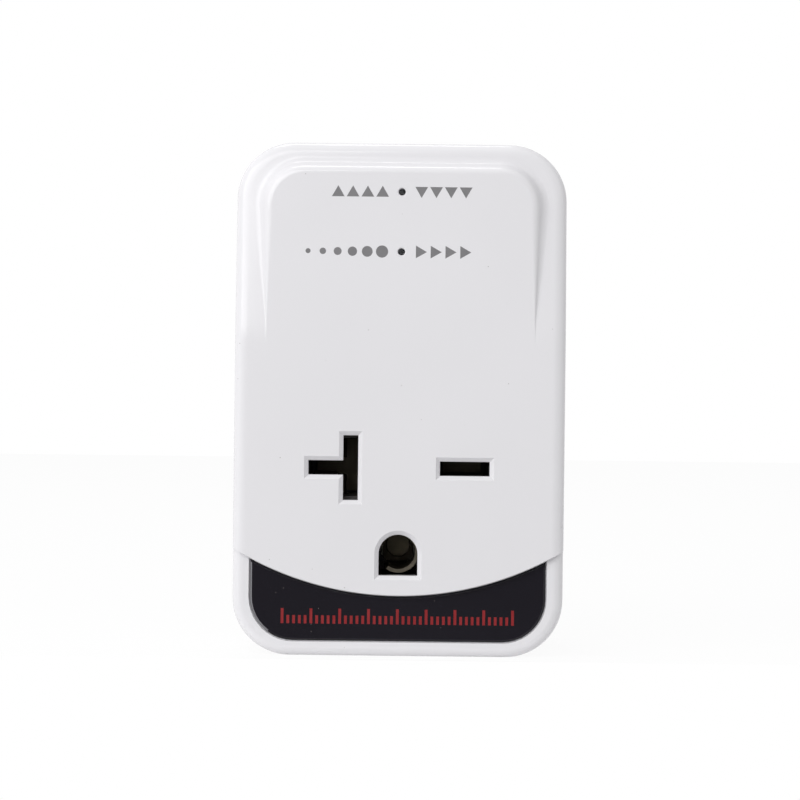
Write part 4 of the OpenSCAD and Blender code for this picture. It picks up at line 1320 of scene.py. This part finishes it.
@dataclass(frozen=True)
class LabelPlate:
    """Glossy black plate in the recess below the arc, with a plain red scale printed on it and a painted
    highlight in light grey on its left chamfer.

    Lengths are in millimetres.
    """

    front: FrontShell
    gap: float = 0.15
    edge: float = 0.3
    edge_depth: float = 0.3
    # Red scale
    scale_half: float = 16.0
    scale_z: float = -21.7
    scale_height: float = 2.1
    short_share: float = 0.55
    tick: float = 0.4
    ticks: int = 41
    tick_group: int = 5
    # How far a face looks forwards or sideways, as a share, where the sideways share picks the left chamfer
    # that carries the painted highlight, and how flat the front is, in degrees
    facing: float = 0.9
    slanted: float = 0.1
    painted_glint_side: float = 0.45
    flat_degrees: float = 0.1

    def scale(self, face: float) -> Mesh:
        """Makes the cutters of the printed scale.

        Args:
            face: Place of the plate's front.

        Returns:
            The mesh, in millimetres.
        """
        step = 2 * self.scale_half / (self.ticks - 1)
        marks = []
        for i in range(self.ticks):
            x = i * step - self.scale_half
            share = 1.0 if i % self.tick_group == 0 else self.short_share
            top = self.scale_z + self.scale_height * share
            marks.append(block((x - self.tick / 2, x + self.tick / 2),
                               (face - OVER, face + INK_DEPTH), (self.scale_z, top)))
        return gathered(marks)

    def build(self) -> bpy.types.Object:
        """Builds the plate and dresses it.

        Returns:
            The finished object.
        """
        low, high = named_box("label_plate")
        outline = self.front.label_outline(self.gap, (low.y, high.y))
        plate = Solid("label_plate_gloss", outline, BLACK_PLATE)
        plate.carve(Joining.CUT, rod((0.0, self.front.arc_centre()), (low.y - OVER, high.y + OVER),
                                     self.front.arc_radius + self.gap, ARC_SEGMENTS))
        mesh = plate.taken()
        bmesh.ops.dissolve_limit(mesh, angle_limit=math.radians(self.flat_degrees), verts=mesh.verts,
                                 edges=mesh.edges)
        front = [face for face in mesh.faces if face.normal.y < -self.facing]
        bmesh.ops.inset_region(mesh, faces=front, thickness=self.edge, depth=0.0, use_even_offset=True)
        front = max((f for f in mesh.faces if f.normal.y < -self.facing), key=lambda f: f.calc_area())
        rim = [v for v in mesh.verts if abs(v.co.y - low.y) < TOUCH and v not in front.verts[:]]
        bmesh.ops.translate(mesh, vec=(0, self.edge_depth, 0), verts=rim)
        mesh.normal_update()
        # Left-facing chamfer faces take the second material, a lighter grey that is a painted highlight
        for face in mesh.faces:
            bevelled = -self.facing < face.normal.y < -self.slanted
            face.material_index = int(bevelled and face.normal.x < -self.painted_glint_side)
        plate = Solid("label_plate_gloss", mesh, BLACK_PLATE)
        # Second material: the painted highlight on the left chamfer
        plate.object.data.materials.append(PLATE_EDGE_PAINTED_GLINT.material())
        plate.carve(Joining.CUT, self.scale(low.y), finish=RED_INK)
        return plate.present("label_plate")


@dataclass(frozen=True)
class RearShell:
    """White rear half of the case: wall plate, tongue, towers, board posts and clamp bosses.

    Lengths are in millimetres.
    """

    case: Case
    # Rounding at the wall, and the wall plate
    rim: float = 1.0
    rim_steps: int = 5
    plate: float = 2.0
    # Towers that the case screws go through, with their wells at the back
    tower: float = 3.4
    tower_bore: float = 1.4
    well: float = 2.5
    well_depth: float = 4.0
    # Tongue that stands inside the front shell
    tongue: float = 1.5
    tongue_wall: float = 0.9
    # Posts of the board and bosses of the blade clamp
    post: float = 2.2
    post_front: float = -6.0
    clamp_front: float = -3.4
    bore: float = 0.98
    clamp_bore_end: float = -1.0
    clamp_at: Place = (9.5, -8.5)
    post_spots: tuple[Place, ...] = ((0.0, 17.0), (11.0, 40.4), (-11.0, 40.4))
    # Blades and ground pin, and the room that they have in the wall plate
    blade_width: float = 6.35
    blade_thickness: float = 1.52
    slot_gap: float = 0.15
    pin_flange: float = 3.6
    pin_hole: float = 2.94

    def build(self) -> bpy.types.Object:
        """Builds the shell and dresses it.

        Returns:
            The finished object.
        """
        case = self.case
        inside = -self.plate
        body = case.outline(0.0, (case.parting, 0.0))
        round_edges(body, lambda e: lies_at(e, 0.0), self.rim, self.rim_steps)
        round_edges(body, lambda e: lies_at(e, case.parting), case.seam, 1)
        shell = Solid("rear_case", body, WHITE)
        shell.carve(Joining.ADD, case.outline(case.wall - self.tongue_wall,
                                              (case.parting - self.tongue, case.parting + case.root)))
        shell.carve(Joining.CUT, case.outline(case.wall, (case.parting - self.tongue - OVER, inside)))
        clamps = [(side * self.clamp_at[0], self.clamp_at[1]) for side in (-1, 1)]
        seat = inside + case.root
        shell.carve(Joining.ADD, *rods(case.posts(), (case.parting, seat), self.tower),
                    *rods(self.post_spots, (self.post_front, seat), self.post),
                    *rods(clamps, (self.clamp_front, seat), self.post))
        wells = rods(case.posts(), (-self.well_depth, OVER), self.well)
        towers = rods(case.posts(), (case.parting - OVER, OVER - self.well_depth), self.tower_bore)
        bores = rods(self.post_spots, (self.post_front - OVER, inside), self.bore)
        bores += rods(clamps, (self.clamp_front - OVER, self.clamp_bore_end), self.bore)
        pin_z = named_box("ground_pin")[0].z + self.pin_flange
        holes = [rod((0.0, pin_z), (inside - OVER, OVER), self.pin_hole), self.blade_slot(-1),
                 self.blade_slot(1)]
        for cutters in (wells, towers, bores, holes):
            shell.carve(Joining.CUT, gathered(cutters))
        return shell.present("rear_shell")

    def blade_slot(self, side: int) -> Mesh:
        """Makes the cutter of a blade's slot through the wall plate.

        Args:
            side: -1 for the left blade and 1 for the right one.

        Returns:
            The mesh, in millimetres.
        """
        half = self.blade_width / 2 + self.slot_gap
        z = self.blade_thickness / 2 + self.slot_gap
        return block((side * SLOT_X - half, side * SLOT_X + half), (-self.plate - OVER, OVER), (-z, z))


@dataclass(frozen=True)
class Eased:
    """A node of the solid model with its own shape, whose sharp edges are eased.

    Lengths are in millimetres.
    """

    node: str
    finish: Finish
    ease: float
    segments: int = 2

    def build(self) -> bpy.types.Object:
        """Builds the piece and dresses it.

        Returns:
            The finished object.
        """
        mesh = bmesh.new()
        mesh.from_mesh(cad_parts[self.node].data)
        bmesh.ops.scale(mesh, vec=(1 / MM, 1 / MM, 1 / MM), verts=mesh.verts)
        bmesh.ops.remove_doubles(mesh, verts=mesh.verts, dist=WELD)
        bmesh.ops.dissolve_limit(mesh, angle_limit=FLAT_ANGLE, verts=mesh.verts, edges=mesh.edges)
        sharp = [e for e in mesh.edges if e.is_manifold and e.calc_face_angle(0) > SHARP_ANGLE]
        bmesh.ops.bevel(mesh, geom=sharp, offset=self.ease, segments=self.segments, profile=0.5,
                        affect="EDGES", material=-1, clamp_overlap=False)
        body = MOVING_NODES.get(self.node, "root")
        return Solid(f"{self.node}_eased", mesh, self.finish).present(self.node, body)


def dress_node(node: str, finish: Finish) -> None:
    """Gives a node of the solid model its finish.

    Args:
        node: Its name.
        finish: The finish.
    """
    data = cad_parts[node].data
    data.materials.clear()
    data.materials.append(finish.material())


# Widths of the eased edges, in millimetres
FINE, PLAIN, BROAD = 0.06, 0.1, 0.15

# Bodies of the nodes that swing
MOVING_NODES = {"relay_armature": "armature"}

# Nodes that get eased edges, by finish
EASED_NODES = {
    CARRIER_BLACK: {"carrier_cover": PLAIN},
    CONTACT_BRASS: {"tee_contact": FINE, "flat_contact": FINE, "ground_strap": FINE},
    BLADE_BRASS: {"left_blade": PLAIN, "right_blade": PLAIN, "ground_pin": BROAD},
    CLAMP_IVORY: {"blade_clamp": BROAD},
    BOARD_GREEN: {"circuit_board": FINE},
    RELAY_BLACK: {"relay_base": FINE},
    RELAY_BLUE: {"relay_cover": BROAD},
    RELAY_STEEL: {"relay_yoke": PLAIN, "relay_core": PLAIN, "relay_armature": PLAIN},
    BOBBIN_IVORY: {"relay_bobbin": PLAIN},
    COIL_COPPER: {"relay_coil": BROAD},
    TIN: {"relay_coil_pins": FINE},
    VARISTOR_BLUE: {"varistor": PLAIN},
    FILM_YELLOW: {"film_capacitor": BROAD},
    SLEEVE_NAVY: {"filter_capacitor": PLAIN, "timing_capacitor": PLAIN},
    CHIP_BLACK: {"rectifier_diodes": PLAIN, "chip_resistors": FINE, "driver_transistor": PLAIN},
    LAMP_CLEAR: {"upper_light": FINE, "lower_light": FINE},
    SCREW_STEEL: {"case_screws": PLAIN, "board_screws": FINE, "clamp_screws": FINE, "carrier_screws": FINE},
}

# Nodes that keep their own mesh, by finish
CARRIED_NODES = {
    CARRIER_BLACK: ["contact_carrier"],
    CONTACT_BRASS: ["ground_contact"],
    SPRING_BRONZE: ["relay_leaf", "relay_fixed_contact"],
    TIN: ["solder_joints"],
    CHIP_BLACK: ["controller_chip"],
    WIRE_RED: ["wire_line_in", "wire_line_out"],
    WIRE_BLUE: ["wire_neutral"],
}


@dataclass(frozen=True)
class Studio:
    """Floor, lights and camera, in metres."""

    # Camera, and the photograph's frame
    distance: float = 0.35
    near: float = 0.01
    pixels_per_mm: float = 7.22
    frame_pixels: float = 800.0
    centre_pixels: Place = (399.8, 399.4)
    roll: float = 0.67
    # Lamps
    window_way: Triple = (-0.372, -0.574, 0.325)
    window_size: Span = (0.76, 0.51)
    window_power: float = 3.8
    ceiling_way: Triple = (-0.12, 0.3, 0.95)
    ceiling_size: Span = (0.4, 0.3)
    ceiling_power: float = 1.3
    # World from left to right, and the dark part that gloss sees behind the camera
    world_levels: Span = (0.66, 0.52)
    dark_level: float = 0.08
    dark_reach: Span = (-0.97, -0.35)
    # Floor
    floor_size: float = 1.2
    floor_front: float = 0.004
    floor_glow: float = 0.93
    floor_colour: str = "fafafa"
    floor_roughness: float = 0.9

    def floor(self) -> None:
        """Lays a pale floor under the case that shows white to the camera but keeps a shadow."""
        low = CAD_BOX[0]
        made = bmesh.new()
        bmesh.ops.create_grid(made, x_segments=1, y_segments=1, size=self.floor_size / 2)
        back = low.y - self.floor_front + self.floor_size / 2
        bmesh.ops.translate(made, vec=(0, back, low.z), verts=made.verts)
        data = bpy.data.meshes.new("floor")
        made.to_mesh(data)
        made.free()
        floor = bpy.data.objects.new("floor", data)
        bpy.context.scene.collection.objects.link(floor)
        weave = Weave("floor_pale")
        weave.give("Base Color", linear(self.floor_colour))
        weave.give("Roughness", self.floor_roughness)
        share = weave.math("MULTIPLY", weave.rays_seen()[1], self.floor_glow)
        weave.show(share, weave.shader.outputs["BSDF"], weave.add("Emission").outputs["Emission"],
                   weave.tree.nodes["Material Output"])
        data.materials.append(weave.material)

    def world(self) -> None:
        """Makes a world that is white to the camera and to gloss, and dark only behind the camera."""
        world = bpy.data.worlds.new("studio")
        world.use_nodes = True
        bpy.context.scene.world = world
        world.node_tree.nodes.clear()
        work = NodeWork(world.node_tree)
        camera, seen = work.rays_seen()
        way = work.add("TexCoord").outputs["Generated"]
        dark = work.ranged(work.along(way, "Y"), self.dark_reach, (self.dark_level, 1.0), "SMOOTHSTEP")
        across = work.ranged(work.along(way, "X"), (-1.0, 1.0), self.world_levels)
        lights = []
        for strength in (across, work.math("MAXIMUM", dark, camera)):
            light = work.add("Background")
            light.inputs["Color"].default_value = (1.0, 1.0, 1.0, 1.0)
            work.feed(light.inputs["Strength"], strength)
            lights.append(light.outputs["Background"])
        work.show(seen, *lights, work.add("OutputWorld"))

    def lamp(self, name: str, way: Triple, size: Span, power: float) -> None:
        """Hangs a rectangular lamp that looks at the case.

        Args:
            name: Its name.
            way: Where it hangs, from the middle of the case's face.
            size: Its width and height.
            power: Its power in watts.
        """
        data = bpy.data.lights.new(name, "AREA")
        data.shape = "RECTANGLE"
        data.size, data.size_y = size
        data.energy = power
        lamp = bpy.data.objects.new(name, data)
        lamp.location = self.middle() + Vector(way)
        lamp.rotation_euler = Vector(way).to_track_quat("Z", "Y").to_euler()
        bpy.context.scene.collection.objects.link(lamp)

    def middle(self) -> Vector:
        """Gives the middle of the case's front face."""
        low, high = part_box("front_shell")
        return Vector((0.0, low.y, (low.z + high.z) / 2))

    def camera(self) -> None:
        """Sets the camera square to the front face, turned a little in its own plane."""
        data = bpy.data.cameras.new("camera")
        camera = bpy.data.objects.new("camera", data)
        bpy.context.scene.collection.objects.link(camera)
        width = self.frame_pixels / self.pixels_per_mm * MM
        data.lens = data.sensor_width * self.distance / width
        data.clip_start = self.near
        half = self.frame_pixels / 2
        aside, down = ((c - half) / self.pixels_per_mm * MM for c in self.centre_pixels)
        camera.location = self.middle() + Vector((-aside, -self.distance, down))
        camera.rotation_euler = (math.radians(90), -math.radians(self.roll), 0.0)
        bpy.context.scene.camera = camera

    def build(self) -> None:
        """Builds the whole studio."""
        scene = bpy.context.scene
        scene.view_settings.view_transform = "Standard"
        self.camera()
        self.world()
        self.floor()
        self.lamp("window", self.window_way, self.window_size, self.window_power)
        self.lamp("ceiling", self.ceiling_way, self.ceiling_size, self.ceiling_power)
        LOG.info("studio ready")


def main() -> None:
    """Builds every piece, dresses the nodes that stay and sets the studio."""
    logging.basicConfig(level=logging.INFO, format="%(name)s: %(message)s")
    Studio().build()
    case = Case.from_frame()
    front = FrontShell(case, Shoulder(case))
    eased = [Eased(node, finish, ease) for finish, eases in EASED_NODES.items()
             for node, ease in eases.items()]
    for part in (front, LabelPlate(front), RearShell(case), *eased):
        piece = part.build()
        LOG.info("%s: %d faces", piece.name, len(piece.data.polygons))
    for finish, nodes in CARRIED_NODES.items():
        for node in nodes:
            dress_node(node, finish)
            LOG.info("%s: dressed with %s", node, finish.name)


if __name__ == "__main__":
    main()
